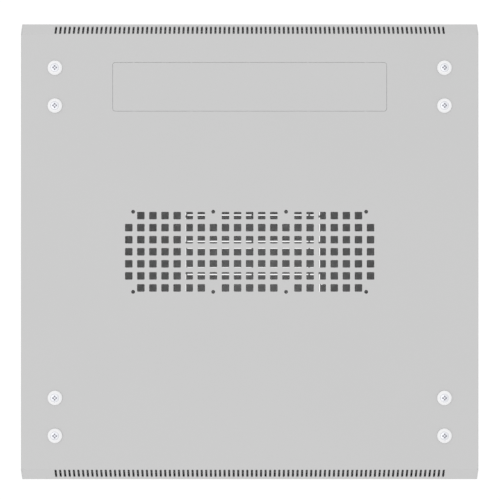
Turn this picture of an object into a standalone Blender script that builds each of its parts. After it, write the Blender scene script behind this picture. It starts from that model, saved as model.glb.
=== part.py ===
"""A free-standing network and server cabinet: 600 mm wide, 600 mm deep, 42 rack units high.

Metres, +Z up, +X to the right, the front faces -Y. The origin is on the floor, under the
middle of the cabinet. A folded roof tray and a folded base tray hold four corner posts. Side
braces on the posts carry the rack rails. A glazed front door and a steel rear door swing on
pins, the side panels tilt out and lift off, and each of the four has a quarter-turn lock.
"""

import math

import bmesh
import bpy
from mathutils import Matrix, Vector

# Driving dimensions.
WIDTH = 0.600
DEPTH = 0.600
ROOF_TOP = 2.000
BASE_BOTTOM = 0.030
TRAY_HEIGHT = 0.050
ROOF_BEND = 0.015
SHEET = 0.0015
FRAME_SHEET = 0.002
GAP = 0.0003
TOUCH = 0.0005
REACH = 0.010

# Heights that follow from them.
ROOF_RIM = ROOF_TOP - TRAY_HEIGHT
BASE_RIM = BASE_BOTTOM + TRAY_HEIGHT
MID_HEIGHT = (ROOF_RIM + BASE_RIM) / 2
DOOR_BOTTOM = BASE_RIM + SHEET
DOOR_TOP = ROOF_RIM - SHEET

# Roof openings.
GRILLE_COLUMNS = 21
GRILLE_ROWS = 7
GRILLE_PITCH = (0.01584, 0.01579)
GRILLE_HOLE = 0.0098
GRILLE_LEFT_SOLID = (0, 7, 13, 20)
FAN_CENTRE = 0.1002
FAN_SPACING = 0.105
FAN_HOLE_RADIUS = 0.0025
SLOT_COUNT = 86
SLOT_PITCH = 0.00599
SLOT_WIDTH = 0.0028
SLOT_LENGTH = 0.0152
SLOT_CENTRE_IN = 0.0087
CABLE_ENTRY_HALF = 0.1795
CABLE_ENTRY_Y = (0.1842, 0.2481)
CABLE_ENTRY_CORNER = 0.0035
CABLE_ENTRY_SLIT = 0.0006
CABLE_ENTRY_TABS = (-0.152, -0.0763, 0.0, 0.0763, 0.152)
CABLE_ENTRY_TAB = 0.0016

# Base openings: three knock-outs between two long slots.
BASE_ENTRY_CENTRE = (0.0068, -0.015)
BASE_ENTRY_HALF = 0.1627
BASE_ENTRY_LINES = (0.0237, 0.0402, 0.1043)
BASE_ENTRY_TABS = (-0.138, 0.0, 0.138)
BASE_ENTRY_TAB = 0.0036
BASE_SIDE_END = 0.112
BASE_SIDE_TABS = (-0.1007, -0.0367, 0.0367, 0.1007)
BASE_SIDE_TAB = 0.0045
BASE_SLIT = 0.0030
BASE_PILOT = (0.1686, 0.0637)
BASE_PILOT_RADIUS = 0.0018

# Fasteners.
SCREW_X = 0.2551
SCREW_Y = (0.1914, 0.2410)
SCREW_RADIUS = 0.003
SCREW_HOLE_RADIUS = 0.0033
WASHER_RADIUS = 0.0095
ROUND_SIDES = 12

# Corner posts: channels that open towards the side panels.
POST_INSIDE = 0.247
POST_OUTSIDE = 0.298
POST_LIP_OUTSIDE = 0.283
POST_FRONT = 0.270
POST_BACK = 0.178
POST_END_PLATE = 0.003
STRIKE_X = (0.2495, 0.2830)
STRIKE_HALF_HEIGHT = (0.016, 0.030)

# Rack rails: 450 mm clear between them, hole lines 465.1 mm apart.
RAIL_INSIDE = 0.2250
RAIL_OUTSIDE = 0.2440
RAIL_FACE = 0.222
RAIL_DEPTH = 0.042
RAIL_HEIGHTS = (0.060, 1.940)

# Side braces.
BRACE_INSIDE = 0.2444
BRACE_LIP = 0.271
BRACE_HALF_LENGTH = 0.250
BRACE_LIP_HALF_LENGTH = 0.1765
BRACE_HEIGHT = 0.050
UPPER_BRACE_TOP = 1.940
BRACE_FLANGE_DROP = 0.026

# Doors.
DOOR_HALF_WIDTH = 0.2985
DOOR_FACE = 0.299
DOOR_RETURN = 0.025
HINGE = (0.2885, 0.291)
HINGE_PIN_RADIUS = 0.003
HINGE_HOLE_RADIUS = 0.0034
WINDOW_HALF = 0.225
WINDOW_BORDER = 0.090
GLASS_LAP = 0.015
GLASS_THICKNESS = 0.004
STIFFENER_HALF = 0.030
STIFFENER_END = 0.070

# Side panels.
PANEL_HALF_LENGTH = 0.264
PANEL_RETURN = 0.015
PANEL_SHEET = 0.0012
PANEL_HOOK_Y = 0.180
PANEL_HOOK_WIDTH = 0.030

# Quarter-turn locks, measured from the outer face of their panel.
LOCK_X = 0.2665
SIDE_LOCK_HEIGHT = 1.900
LOCK_HOLE_RADIUS = 0.0099
LOCK_BODY_RADIUS = 0.0095
LOCK_FLANGE_RADIUS = 0.013
LOCK_BORE_RADIUS = 0.0073
LOCK_PLUG_RADIUS = 0.007
LOCK_DEPTH = 0.0315
CAM_THICKNESS = 0.0025
CAM_LENGTH = 0.024
CAM_HALF_WIDTH = 0.008

# Levelling feet and the earth stud.
FOOT_PLACE = (0.225, 0.255)
FOOT_RADIUS = 0.020
FOOT_STUD_RADIUS = 0.005
FOOT_HOLE_RADIUS = 0.0055
FOOT_STUD_TOP = 0.055
EARTH_PLACE = (-0.190, 0.225)
EARTH_STUD_RADIUS = 0.004
EARTH_STUD_TOP = 0.052

# Each finish is a base colour, a roughness and a metallic value.
FINISHES = {
    "grey_paint": ((0.60, 0.60, 0.60), 0.45, 0.0),
    "zinc_plate": ((0.62, 0.63, 0.65), 0.35, 1.0),
    "door_glass": ((0.55, 0.60, 0.60), 0.05, 0.0),
    "white_nylon": ((0.90, 0.91, 0.92), 0.40, 0.0),
    "bright_steel": ((0.80, 0.81, 0.82), 0.25, 1.0),
    "lock_chrome": ((0.75, 0.76, 0.78), 0.15, 1.0),
    "foot_plastic": ((0.03, 0.03, 0.03), 0.55, 0.0),
    "brass": ((0.80, 0.62, 0.30), 0.30, 1.0),
}

SIDES = {"left": -1, "right": 1}
ENDS = {"front": -1, "rear": 1}


def clear_scene():
    """Removes every object that the scene starts with."""
    for obj in list(bpy.data.objects):
        bpy.data.objects.remove(obj)


def new_collection(name):
    """A collection under the scene's own."""
    collection = bpy.data.collections.new(name)
    bpy.context.scene.collection.children.link(collection)
    return collection


def finish(name):
    """The finish of that name as a Principled material, made on first use."""
    if name in bpy.data.materials:
        return bpy.data.materials[name]
    colour, roughness, metallic = FINISHES[name]
    made = bpy.data.materials.new(name)
    made.use_nodes = True
    shader = made.node_tree.nodes["Principled BSDF"]
    shader.inputs["Base Color"].default_value = (*colour, 1)
    shader.inputs["Roughness"].default_value = roughness
    shader.inputs["Metallic"].default_value = metallic
    return made


def mesh_from(name, build):
    """A mesh that holds what the shape functions in build added."""
    shape = bmesh.new()
    for add in build:
        add(shape)
    mesh = bpy.data.meshes.new(name)
    shape.to_mesh(mesh)
    shape.free()
    return mesh


def block(low, high, tilt=0.0):
    """Adds a box between two corners, tilted about an X line through its middle."""
    middle = (Vector(low) + Vector(high)) / 2
    size = Vector([abs(b - a) for a, b in zip(low, high)])
    turn = Matrix.Rotation(tilt, 4, "X")
    matrix = Matrix.Translation(middle) @ turn @ Matrix.Diagonal((*size, 1))
    return lambda shape: bmesh.ops.create_cube(shape, size=1, matrix=matrix)


def rod(radius, start, end, axis="Z", sides=ROUND_SIDES):
    """Adds a capped cylinder from start to end along axis."""
    start = Vector(start)
    end = Vector(end)
    turns = {"X": ("Y", math.pi / 2), "Y": ("X", math.pi / 2), "Z": ("Z", 0.0)}
    about, angle = turns[axis]
    matrix = Matrix.Translation((start + end) / 2) @ Matrix.Rotation(angle, 4, about)
    return lambda shape: bmesh.ops.create_cone(
        shape,
        cap_ends=True,
        segments=sides,
        radius1=radius,
        radius2=radius,
        depth=(end - start).length,
        matrix=matrix,
    )


def sided(sx, sy, x, y, z):
    """A block from ranges of |x|, |y| and z, on the side that the signs say."""
    xs = sorted(sx * value for value in x)
    ys = sorted(sy * value for value in y)
    return block((xs[0], ys[0], z[0]), (xs[1], ys[1], z[1]))


def pivot(name, place, parent=None):
    """An empty on a joint's axis. The parts that move with it are its children."""
    empty = bpy.data.objects.new(name, None)
    empty.empty_display_size = 0.02
    PARTS.objects.link(empty)
    empty.parent = parent
    empty.location = Vector(place) - world_place(parent)
    return empty


def world_place(parent):
    """Where an unturned parent stands, from the empties above it."""
    place = Vector((0, 0, 0))
    while parent:
        place += parent.location
        parent = parent.parent
    return place


def part(name, mesh, finish_name, origin=(0, 0, 0), turn=(0, 0, 0), parent=None):
    """A named sub-part whose mesh is drawn about its own origin."""
    obj = bpy.data.objects.new(name, mesh)
    PARTS.objects.link(obj)
    if not mesh.materials:
        mesh.materials.append(finish(finish_name))
    obj.parent = parent
    obj.location = Vector(origin) - world_place(parent)
    obj.rotation_euler = turn
    return obj


def part_in_place(name, build, finish_name, origin, parent=None):
    """A sub-part whose shapes are given where they stand, then drawn about its origin."""
    mesh = mesh_from(name, build)
    mesh.transform(Matrix.Translation(-Vector(origin)))
    return part(name, mesh, finish_name, origin, parent=parent)


def helper(name, mesh):
    """A cutter, or a shape to join: no part of the cabinet itself."""
    obj = bpy.data.objects.new(name, mesh)
    CUTTERS.objects.link(obj)
    obj.hide_render = True
    obj.display_type = "WIRE"
    return obj


def combine(obj, other, operation):
    """Cuts another object out of this one, or joins it on."""
    boolean = obj.modifiers.new(other.name, "BOOLEAN")
    boolean.operation = operation
    boolean.solver = "EXACT"
    boolean.object = other


def cut(obj, label, build):
    """Cuts the shapes in build, given where they stand, out of a part."""
    combine(obj, helper(f"{obj.name}_{label}", mesh_from(label, build)), "DIFFERENCE")


def join(obj, label, build):
    """Joins the shapes in build, given where they stand, onto a part, one at a time."""
    for number, shape in enumerate(build):
        name = f"{obj.name}_{label}_{number}"
        combine(obj, helper(name, mesh_from(name, [shape])), "UNION")


def thicken(obj, thickness, offset=-1.0):
    """Gives an open surface its wall, inwards unless offset says otherwise."""
    wall = obj.modifiers.new("wall", "SOLIDIFY")
    wall.thickness = thickness
    wall.offset = offset
    wall.use_even_offset = True


def ribbon(obj, paths, heights, thickness):
    """Stands each path of (x, y) points up as a wall between two heights."""
    shape = bmesh.new()
    for path in paths:
        low = [shape.verts.new((x, y, heights[0])) for x, y in path]
        edges = [shape.edges.new(pair) for pair in zip(low, low[1:])]
        raised = bmesh.ops.extrude_edge_only(shape, edges=edges)["geom"]
        tops = [item for item in raised if isinstance(item, bmesh.types.BMVert)]
        bmesh.ops.translate(shape, verts=tops, vec=(0, 0, heights[1] - heights[0]))
    bmesh.ops.recalc_face_normals(shape, faces=shape.faces)
    shape.to_mesh(obj.data)
    shape.free()
    thicken(obj, thickness, offset=0.0)


def tray(name, low, high, open_towards, thickness, origin, bend=0.0, parent=None):
    """A folded sheet tray: a box without one side, its wall inwards of the box.

    With a bend, the two long top edges along X are folded back by that much.
    """
    middle = (Vector(low) + Vector(high)) / 2
    size = Vector(high) - Vector(low)
    shape = bmesh.new()
    matrix = Matrix.LocRotScale(middle - Vector(origin), None, size)
    bmesh.ops.create_cube(shape, size=1, matrix=matrix)
    shape.normal_update()
    towards = Vector(open_towards)
    open_faces = [face for face in shape.faces if face.normal.dot(towards) > 0.9]
    bmesh.ops.delete(shape, geom=open_faces, context="FACES_ONLY")
    if bend:
        top = max(vert.co.z for vert in shape.verts)
        folds = [edge for edge in shape.edges if lies_along_x(edge, top)]
        bmesh.ops.bevel(shape, geom=folds, offset=bend, segments=1, affect="EDGES")
    mesh = bpy.data.meshes.new(name)
    shape.to_mesh(mesh)
    shape.free()
    obj = part(name, mesh, "grey_paint", origin, parent=parent)
    thicken(obj, thickness)
    return obj


def lies_along_x(edge, height):
    """Whether an edge runs along X at a height."""
    a, b = (vert.co for vert in edge.verts)
    level = abs(a.z - height) < GAP and abs(b.z - height) < GAP
    return level and abs(a.y - b.y) < GAP


def finished_mesh(obj):
    """The mesh of an object with its modifiers applied. The object itself is removed."""
    bpy.context.view_layer.update()
    graph = bpy.context.evaluated_depsgraph_get()
    mesh = bpy.data.meshes.new_from_object(obj.evaluated_get(graph))
    mesh.name = obj.name
    bpy.data.objects.remove(obj)
    return mesh


def turned_mesh(name, profile, ring=False):
    """Turns a profile of (radius, height) points about Z. It runs down the outer side."""
    edges = [(index, index + 1) for index in range(len(profile) - 1)]
    if ring:
        edges.append((len(profile) - 1, 0))
    mesh = bpy.data.meshes.new(name)
    mesh.from_pydata([(radius, 0, height) for radius, height in profile], edges, [])
    obj = helper(name, mesh)
    screw = obj.modifiers.new("turn", "SCREW")
    screw.steps = ROUND_SIDES
    screw.render_steps = ROUND_SIDES
    screw.use_merge_vertices = True
    screw.merge_threshold = 0.00001
    made = finished_mesh(obj)
    made.shade_smooth()
    made.set_sharp_from_angle(angle=math.radians(40))
    return made


def spans(start, end, tabs, tab):
    """The stretches of a cut line between start and end that the tabs leave open."""
    ends = [start]
    for place in sorted(tabs):
        ends += [place - tab / 2, place + tab / 2]
    ends.append(end)
    return list(zip(ends[::2], ends[1::2]))


def screw_places():
    """The four pairs of screw places, over the end plates of the posts."""
    return [(sx * SCREW_X, sy * y) for sy in (-1, 1) for y in SCREW_Y for sx in (-1, 1)]


def screw_holes(heights):
    """Rods that cut the eight screw holes between two heights."""
    low, high = heights
    return [rod(SCREW_HOLE_RADIUS, (x, y, low), (x, y, high)) for x, y in screw_places()]


def grille_holes(heights):
    """The square holes of the fan grille. Its corners and fan screws keep their metal."""
    half = GRILLE_HOLE / 2
    holes = []
    for row in range(GRILLE_ROWS):
        for column in range(GRILLE_COLUMNS):
            if row in (0, GRILLE_ROWS - 1) and column in GRILLE_LEFT_SOLID:
                continue
            x = (column - (GRILLE_COLUMNS - 1) / 2) * GRILLE_PITCH[0]
            y = (row - (GRILLE_ROWS - 1) / 2) * GRILLE_PITCH[1]
            low = (x - half, y - half, heights[0])
            holes.append(block(low, (x + half, y + half, heights[1])))
    return holes


def fan_holes(heights):
    """Four screw holes for each of the two fans that the grille is made for."""
    spread = FAN_SPACING / 2
    places = [
        (side * FAN_CENTRE + a * spread, b * spread)
        for side in (-1, 1)
        for a in (-1, 1)
        for b in (-1, 1)
    ]
    return [rod(FAN_HOLE_RADIUS, (x, y, heights[0]), (x, y, heights[1])) for x, y in places]


def vent_slots(end):
    """The row of slots in the folded edge at the front (-1) or the rear (1)."""
    y = end * (DEPTH / 2 - SLOT_CENTRE_IN)
    z = ROOF_TOP - ROOF_BEND + SLOT_CENTRE_IN
    slots = []
    for number in range(SLOT_COUNT):
        x = (number - (SLOT_COUNT - 1) / 2) * SLOT_PITCH
        half = Vector((SLOT_WIDTH, SLOT_LENGTH, REACH)) / 2
        middle = Vector((x, y, z))
        slots.append(block(middle - half, middle + half, tilt=-end * math.pi / 4))
    return slots


def rounded_end(side, start):
    """The cut line round one end of the cable entry, from a tab to the tab across it."""
    points = [(side * start, CABLE_ENTRY_Y[0])]
    for y, toward in ((CABLE_ENTRY_Y[0], 1), (CABLE_ENTRY_Y[1], -1)):
        centre = (CABLE_ENTRY_HALF - CABLE_ENTRY_CORNER, y + toward * CABLE_ENTRY_CORNER)
        quarter = [step * math.pi / 6 for step in range(4)]
        if toward < 0:
            quarter.reverse()
        for angle in quarter:
            x = centre[0] + CABLE_ENTRY_CORNER * math.sin(angle)
            points.append((side * x, centre[1] - toward * CABLE_ENTRY_CORNER * math.cos(angle)))
    points.append((side * start, CABLE_ENTRY_Y[1]))
    return points


def cable_entry_lines():
    """The cut lines round the roof's cable entry, which small tabs interrupt."""
    last = CABLE_ENTRY_TABS[-1]
    lines = [rounded_end(side, last + CABLE_ENTRY_TAB / 2) for side in (-1, 1)]
    for start, end in spans(-last, last, CABLE_ENTRY_TABS, CABLE_ENTRY_TAB)[1:-1]:
        lines += [[(start, y), (end, y)] for y in CABLE_ENTRY_Y]
    return lines


def make_roof():
    """The roof tray with its grille, vent slots, cable entry and screw holes."""
    low = (-WIDTH / 2, -DEPTH / 2, ROOF_RIM)
    high = (WIDTH / 2, DEPTH / 2, ROOF_TOP)
    origin = (0, 0, ROOF_RIM)
    roof = tray("roof_panel", low, high, (0, 0, -1), SHEET, origin, bend=ROOF_BEND)
    through = (ROOF_TOP - REACH, ROOF_TOP + REACH)
    holes = grille_holes(through) + fan_holes(through) + screw_holes(through)
    cut(roof, "openings", holes + vent_slots(-1) + vent_slots(1))
    slits = helper("roof_cable_entry", bpy.data.meshes.new("roof_cable_entry"))
    ribbon(slits, cable_entry_lines(), through, CABLE_ENTRY_SLIT)
    combine(roof, slits, "DIFFERENCE")


def make_base():
    """The base tray with its knock-outs and the holes for feet and screws."""
    low = (-WIDTH / 2, -DEPTH / 2, BASE_BOTTOM)
    high = (WIDTH / 2, DEPTH / 2, BASE_RIM)
    origin = (0, 0, BASE_BOTTOM)
    base = tray("base_panel", low, high, (0, 0, 1), SHEET, origin)
    through = (BASE_BOTTOM - REACH, BASE_BOTTOM + REACH)
    centre = Vector(BASE_ENTRY_CENTRE)
    holes = screw_holes(through)
    for sx in (-1, 1):
        for sy in (-1, 1):
            x, y = sx * FOOT_PLACE[0], sy * FOOT_PLACE[1]
            holes.append(rod(FOOT_HOLE_RADIUS, (x, y, through[0]), (x, y, through[1])))
            x, y = centre.x + sx * BASE_PILOT[0], centre.y + sy * BASE_PILOT[1]
            holes.append(rod(BASE_PILOT_RADIUS, (x, y, through[0]), (x, y, through[1])))
    cut(base, "holes", holes)
    across = [
        [(centre.x + start, centre.y + side * line), (centre.x + end, centre.y + side * line)]
        for side in (-1, 1)
        for line in BASE_ENTRY_LINES
        for start, end in spans(-BASE_ENTRY_HALF, BASE_ENTRY_HALF, BASE_ENTRY_TABS, BASE_ENTRY_TAB)
    ]
    along = [
        [(centre.x + side * BASE_ENTRY_HALF, centre.y + y) for y in stretch]
        for side in (-1, 1)
        for stretch in spans(-BASE_SIDE_END, BASE_SIDE_END, BASE_SIDE_TABS, BASE_SIDE_TAB)
    ]
    for label, lines in (("across", across), ("along", along)):
        slits = helper(f"base_slits_{label}", bpy.data.meshes.new(f"base_slits_{label}"))
        ribbon(slits, lines, through, BASE_SLIT)
        combine(base, slits, "DIFFERENCE")


def make_posts():
    """Four channel posts between the trays, with a plate at each end for the screws."""
    bottom = BASE_BOTTOM + SHEET + GAP
    top = ROOF_TOP - SHEET - GAP
    for end, sy in ENDS.items():
        for side, sx in SIDES.items():
            x, y = (POST_INSIDE, POST_OUTSIDE), (POST_BACK, POST_FRONT)
            origin = (sx * POST_INSIDE, sy * POST_FRONT, bottom)
            body = [sided(sx, sy, x, y, (bottom, top))]
            post = part_in_place(f"post_{end}_{side}", body, "zinc_plate", origin)
            inner_y = (POST_BACK + FRAME_SHEET, POST_FRONT - FRAME_SHEET)
            inner_z = (bottom + POST_END_PLATE, top - POST_END_PLATE)
            pocket = sided(sx, sy, (POST_INSIDE + FRAME_SHEET, WIDTH / 2), inner_y, inner_z)
            cut(post, "channel", [pocket])
            edge_y = (POST_BACK - REACH, POST_FRONT - FRAME_SHEET)
            edge = sided(sx, sy, (POST_LIP_OUTSIDE, WIDTH / 2), edge_y, (0, ROOF_TOP + REACH))
            cut(post, "edge", [edge])
            ends = ((0, bottom + REACH), (top - REACH, ROOF_TOP + REACH))
            holes = []
            for hole in SCREW_Y:
                x, y = sx * SCREW_X, sy * hole
                holes += [rod(SCREW_HOLE_RADIUS, (x, y, low), (x, y, high)) for low, high in ends]
            if sx == sy:
                strike_z = (MID_HEIGHT - STRIKE_HALF_HEIGHT[0], MID_HEIGHT + STRIKE_HALF_HEIGHT[1])
                strike_y = (POST_FRONT - REACH, POST_FRONT + REACH)
                holes.append(sided(sx, sy, STRIKE_X, strike_y, strike_z))
            cut(post, "holes", holes)


def make_rails():
    """Four angle rails for the equipment, two behind each door."""
    for end, sy in ENDS.items():
        for side, sx in SIDES.items():
            face = RAIL_FACE - FRAME_SHEET / 2
            outside = RAIL_OUTSIDE - FRAME_SHEET / 2
            path = [(RAIL_INSIDE, face), (outside, face), (outside, RAIL_FACE - RAIL_DEPTH)]
            name = f"rack_rail_{end}_{side}"
            origin = Vector((sx * outside, sy * face, RAIL_HEIGHTS[0]))
            rail = part(name, bpy.data.meshes.new(name), "zinc_plate", origin)
            points = [(sx * x - origin.x, sy * y - origin.y) for x, y in path]
            ribbon(rail, [points], (0, RAIL_HEIGHTS[1] - RAIL_HEIGHTS[0]), FRAME_SHEET)


def brace_parts(sx, top, flange):
    """The solids of one brace: its web, its lips and, on an upper one, a down-turned flange."""
    bottom = top - BRACE_HEIGHT
    lip_x = (BRACE_INSIDE, BRACE_LIP)
    lip_y = (-BRACE_LIP_HALF_LENGTH, BRACE_LIP_HALF_LENGTH)
    web = sided(
        sx, 1, (BRACE_INSIDE, BRACE_INSIDE + FRAME_SHEET), (-BRACE_HALF_LENGTH, BRACE_HALF_LENGTH),
        (bottom, top),
    )
    extra = [sided(sx, 1, lip_x, lip_y, (top - FRAME_SHEET, top))]
    if flange:
        flange_x = (BRACE_LIP - FRAME_SHEET, BRACE_LIP)
        extra.append(sided(sx, 1, flange_x, lip_y, (top - BRACE_FLANGE_DROP, top)))
    else:
        extra.append(sided(sx, 1, lip_x, lip_y, (bottom, bottom + FRAME_SHEET)))
    return web, extra


def make_braces():
    """Two side braces on each side. The upper one's flange is what the side lock catches."""
    middle_top = MID_HEIGHT + BRACE_HEIGHT / 2
    for side, sx in SIDES.items():
        for level, top in (("upper", UPPER_BRACE_TOP), ("middle", middle_top)):
            web, extra = brace_parts(sx, top, level == "upper")
            origin = (sx * BRACE_INSIDE, 0, top)
            brace = part_in_place(f"brace_{level}_{side}", [web], "zinc_plate", origin)
            join(brace, "lips", extra)


def make_screws():
    """The roof's raised-head screws, each in a nylon cup washer."""
    seat = 0.0010
    cup = 0.0028
    washer_mesh = turned_mesh(
        "roof_washer",
        [(0.0066, cup), (WASHER_RADIUS, 0.0006), (WASHER_RADIUS, 0), (0.0036, 0),
         (0.0036, seat), (0.0060, cup)],
        ring=True,
    )
    screw_mesh = turned_mesh(
        "roof_screw",
        [(0, 0.0042), (0.0035, 0.0040), (0.0055, 0.0032), (0.0055, 0.00295), (SCREW_RADIUS, 0.0011),
         (SCREW_RADIUS, -0.013), (0.0022, -0.014), (0, -0.014)],
    )
    for number, (x, y) in enumerate(screw_places(), start=1):
        place = (x, y, ROOF_TOP + GAP)
        part(f"roof_washer_{number}", washer_mesh, "white_nylon", place)
        part(f"roof_screw_{number}", screw_mesh, "bright_steel", place)


def make_hinge_brackets():
    """Four brackets in the trays, whose pins carry the doors' top and bottom edges."""
    half = 0.0093
    front = HINGE[1] - (DEPTH / 2 - SHEET) + 2 * TOUCH
    back = HINGE[1] - POST_FRONT - 2 * GAP
    plate = (0.002, 0.005)
    build = [block((-half, front, plate[0]), (half, back, plate[1]))]
    bracket = helper("hinge_bracket", mesh_from("hinge_bracket", build))
    leg = block((-half, back - FRAME_SHEET, plate[0] + TOUCH), (half, back, 0.035))
    shoulder = rod(0.006, (0, 0, plate[0] + TOUCH), (0, 0, GAP - SHEET))
    pin = rod(HINGE_PIN_RADIUS, (0, 0, plate[0] + 2 * TOUCH), (0, 0, -0.0115))
    join(bracket, "pieces", [leg, shoulder, pin])
    mesh = finished_mesh(bracket)
    quarter = math.pi / 2
    turns = {
        ("front", "upper"): (0, 0, 0),
        ("front", "lower"): (0, 2 * quarter, 0),
        ("rear", "upper"): (0, 0, 2 * quarter),
        ("rear", "lower"): (2 * quarter, 0, 0),
    }
    for (end, level), turn in turns.items():
        sign = ENDS[end]
        height = ROOF_RIM if level == "upper" else BASE_RIM
        place = (-sign * HINGE[0], sign * HINGE[1], height)
        part(f"hinge_bracket_{end}_{level}", mesh, "zinc_plate", place, turn)


def door_holes(sy):
    """What both doors have: a lock hole and a hole at each end for the hinge pin."""
    x, y = -sy * HINGE[0], sy * HINGE[1]
    lock_x = sy * LOCK_X
    face = sy * DOOR_FACE
    return [
        rod(HINGE_HOLE_RADIUS, (x, y, DOOR_BOTTOM - REACH), (x, y, DOOR_BOTTOM + REACH)),
        rod(HINGE_HOLE_RADIUS, (x, y, DOOR_TOP - REACH), (x, y, DOOR_TOP + REACH)),
        rod(
            LOCK_HOLE_RADIUS,
            (lock_x, face - REACH, MID_HEIGHT),
            (lock_x, face + REACH, MID_HEIGHT),
            axis="Y",
        ),
    ]


def door_tray(name, sy, parent):
    """A door skin with returns all round, its face outwards."""
    ys = sorted((sy * DOOR_FACE, sy * (DOOR_FACE - DOOR_RETURN)))
    low = (-DOOR_HALF_WIDTH, ys[0], DOOR_BOTTOM)
    high = (DOOR_HALF_WIDTH, ys[1], DOOR_TOP)
    origin = (-sy * HINGE[0], sy * HINGE[1], DOOR_BOTTOM)
    return tray(name, low, high, (0, -sy, 0), SHEET, origin, parent=parent)


def make_front_door():
    """The glazed front door, hung on the right."""
    hinge = pivot("front_door_hinge", (HINGE[0], -HINGE[1], DOOR_BOTTOM))
    frame = door_tray("front_door_frame", -1, hinge)
    window_z = (DOOR_BOTTOM + WINDOW_BORDER, DOOR_TOP - WINDOW_BORDER)
    face = -DOOR_FACE
    window = block(
        (-WINDOW_HALF, face - REACH, window_z[0]),
        (WINDOW_HALF, face + REACH, window_z[1]),
    )
    cut(frame, "holes", [window, *door_holes(-1)])
    pane_y = face + SHEET + TOUCH
    half = WINDOW_HALF + GLASS_LAP
    pane = block(
        (-half, pane_y, window_z[0] - GLASS_LAP),
        (half, pane_y + GLASS_THICKNESS, window_z[1] + GLASS_LAP),
    )
    origin = (0, pane_y, MID_HEIGHT)
    part_in_place("front_door_glass", [pane], "door_glass", origin, parent=hinge)
    return hinge


def make_rear_door():
    """The plain rear door, hung on the left seen from the front, with a stiffener inside."""
    hinge = pivot("rear_door_hinge", (-HINGE[0], HINGE[1], DOOR_BOTTOM))
    panel = door_tray("rear_door_panel", 1, hinge)
    cut(panel, "holes", door_holes(1))
    inner = DOOR_FACE - SHEET - TOUCH
    outer = DOOR_FACE - DOOR_RETURN + 2 * SHEET
    path = [
        (-STIFFENER_HALF, inner), (-STIFFENER_HALF, outer),
        (STIFFENER_HALF, outer), (STIFFENER_HALF, inner),
    ]
    heights = (DOOR_BOTTOM + STIFFENER_END, DOOR_TOP - STIFFENER_END)
    name = "rear_door_stiffener"
    origin = (0, inner, heights[0])
    stiffener = part(name, bpy.data.meshes.new(name), "grey_paint", origin, parent=hinge)
    points = [(x, y - inner) for x, y in path]
    ribbon(stiffener, [points], (0, heights[1] - heights[0]), PANEL_SHEET)
    return hinge


def make_side_panel(side, sx):
    """A side panel that stands on the base, hooked behind its rim."""
    edge = pivot(f"side_panel_{side}_edge", (sx * WIDTH / 2, 0, DOOR_BOTTOM))
    xs = sorted((sx * WIDTH / 2, sx * (WIDTH / 2 - PANEL_RETURN)))
    low = (xs[0], -PANEL_HALF_LENGTH, DOOR_BOTTOM)
    high = (xs[1], PANEL_HALF_LENGTH, DOOR_TOP)
    origin = (sx * WIDTH / 2, 0, DOOR_BOTTOM)
    panel = tray(
        f"side_panel_{side}", low, high, (-sx, 0, 0), PANEL_SHEET, origin, parent=edge
    )
    face = sx * WIDTH / 2
    lock_hole = rod(
        LOCK_HOLE_RADIUS,
        (face - REACH, 0, SIDE_LOCK_HEIGHT),
        (face + REACH, 0, SIDE_LOCK_HEIGHT),
        axis="X",
    )
    cut(panel, "lock_hole", [lock_hole])
    hook_x = (0.2960, 0.2972)
    hook_z = (DOOR_BOTTOM - 0.0115, DOOR_BOTTOM + PANEL_SHEET - TOUCH)
    hooks = [
        sided(sx, 1, hook_x, (y - PANEL_HOOK_WIDTH / 2, y + PANEL_HOOK_WIDTH / 2), hook_z)
        for y in (-PANEL_HOOK_Y, PANEL_HOOK_Y)
    ]
    join(panel, "hooks", hooks)
    return edge


def lock_meshes():
    """The three pieces of a lock, drawn with +Z out of the panel and the cam along +Y."""
    case = turned_mesh(
        "lock_case",
        [(0.0110, 0.0020), (LOCK_FLANGE_RADIUS, 0.0008), (LOCK_FLANGE_RADIUS, GAP),
         (LOCK_BODY_RADIUS, GAP), (LOCK_BODY_RADIUS, -0.0270), (LOCK_BORE_RADIUS, -0.0270),
         (LOCK_BORE_RADIUS, 0.0020)],
        ring=True,
    )
    plug_profile = [
        (0, 0.0014), (LOCK_PLUG_RADIUS, 0.0014), (LOCK_PLUG_RADIUS, 2 * GAP - LOCK_DEPTH),
        (SCREW_RADIUS, 2 * GAP - LOCK_DEPTH), (SCREW_RADIUS, -0.0350), (0, -0.0350),
    ]
    plug = helper("lock_plug_shape", turned_mesh("lock_plug_shape", plug_profile))
    cut(plug, "keyway", [block((-0.0009, -0.0037, -0.003), (0.0009, 0.0037, 0.004))])
    blade = block(
        (-CAM_HALF_WIDTH, -CAM_HALF_WIDTH, -LOCK_DEPTH - CAM_THICKNESS),
        (CAM_HALF_WIDTH, CAM_LENGTH, -LOCK_DEPTH),
    )
    cam = helper("lock_cam_shape", mesh_from("lock_cam_shape", [blade, round_corners]))
    cut(cam, "hole", [rod(SCREW_HOLE_RADIUS, (0, 0, -0.04), (0, 0, -0.03))])
    return {"case": case, "plug": finished_mesh(plug), "cam": finished_mesh(cam)}


def round_corners(shape):
    """Rounds the four upright edges of a plate."""
    upright = [edge for edge in shape.edges if abs(edge.verts[0].co.z - edge.verts[1].co.z) > TOUCH]
    bmesh.ops.bevel(shape, geom=upright, offset=0.006, segments=3, affect="EDGES", profile=0.5)


def make_lock(name, meshes, place, turn, parent):
    """A lock whose case stays with its panel, and whose plug and cam turn on a pivot."""
    part(f"{name}_case", meshes["case"], "lock_chrome", place, turn, parent)
    spindle = pivot(f"{name}_spindle", place, parent)
    part(f"{name}_plug", meshes["plug"], "lock_chrome", place, turn, spindle)
    part(f"{name}_cam", meshes["cam"], "zinc_plate", place, turn, spindle)


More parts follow.
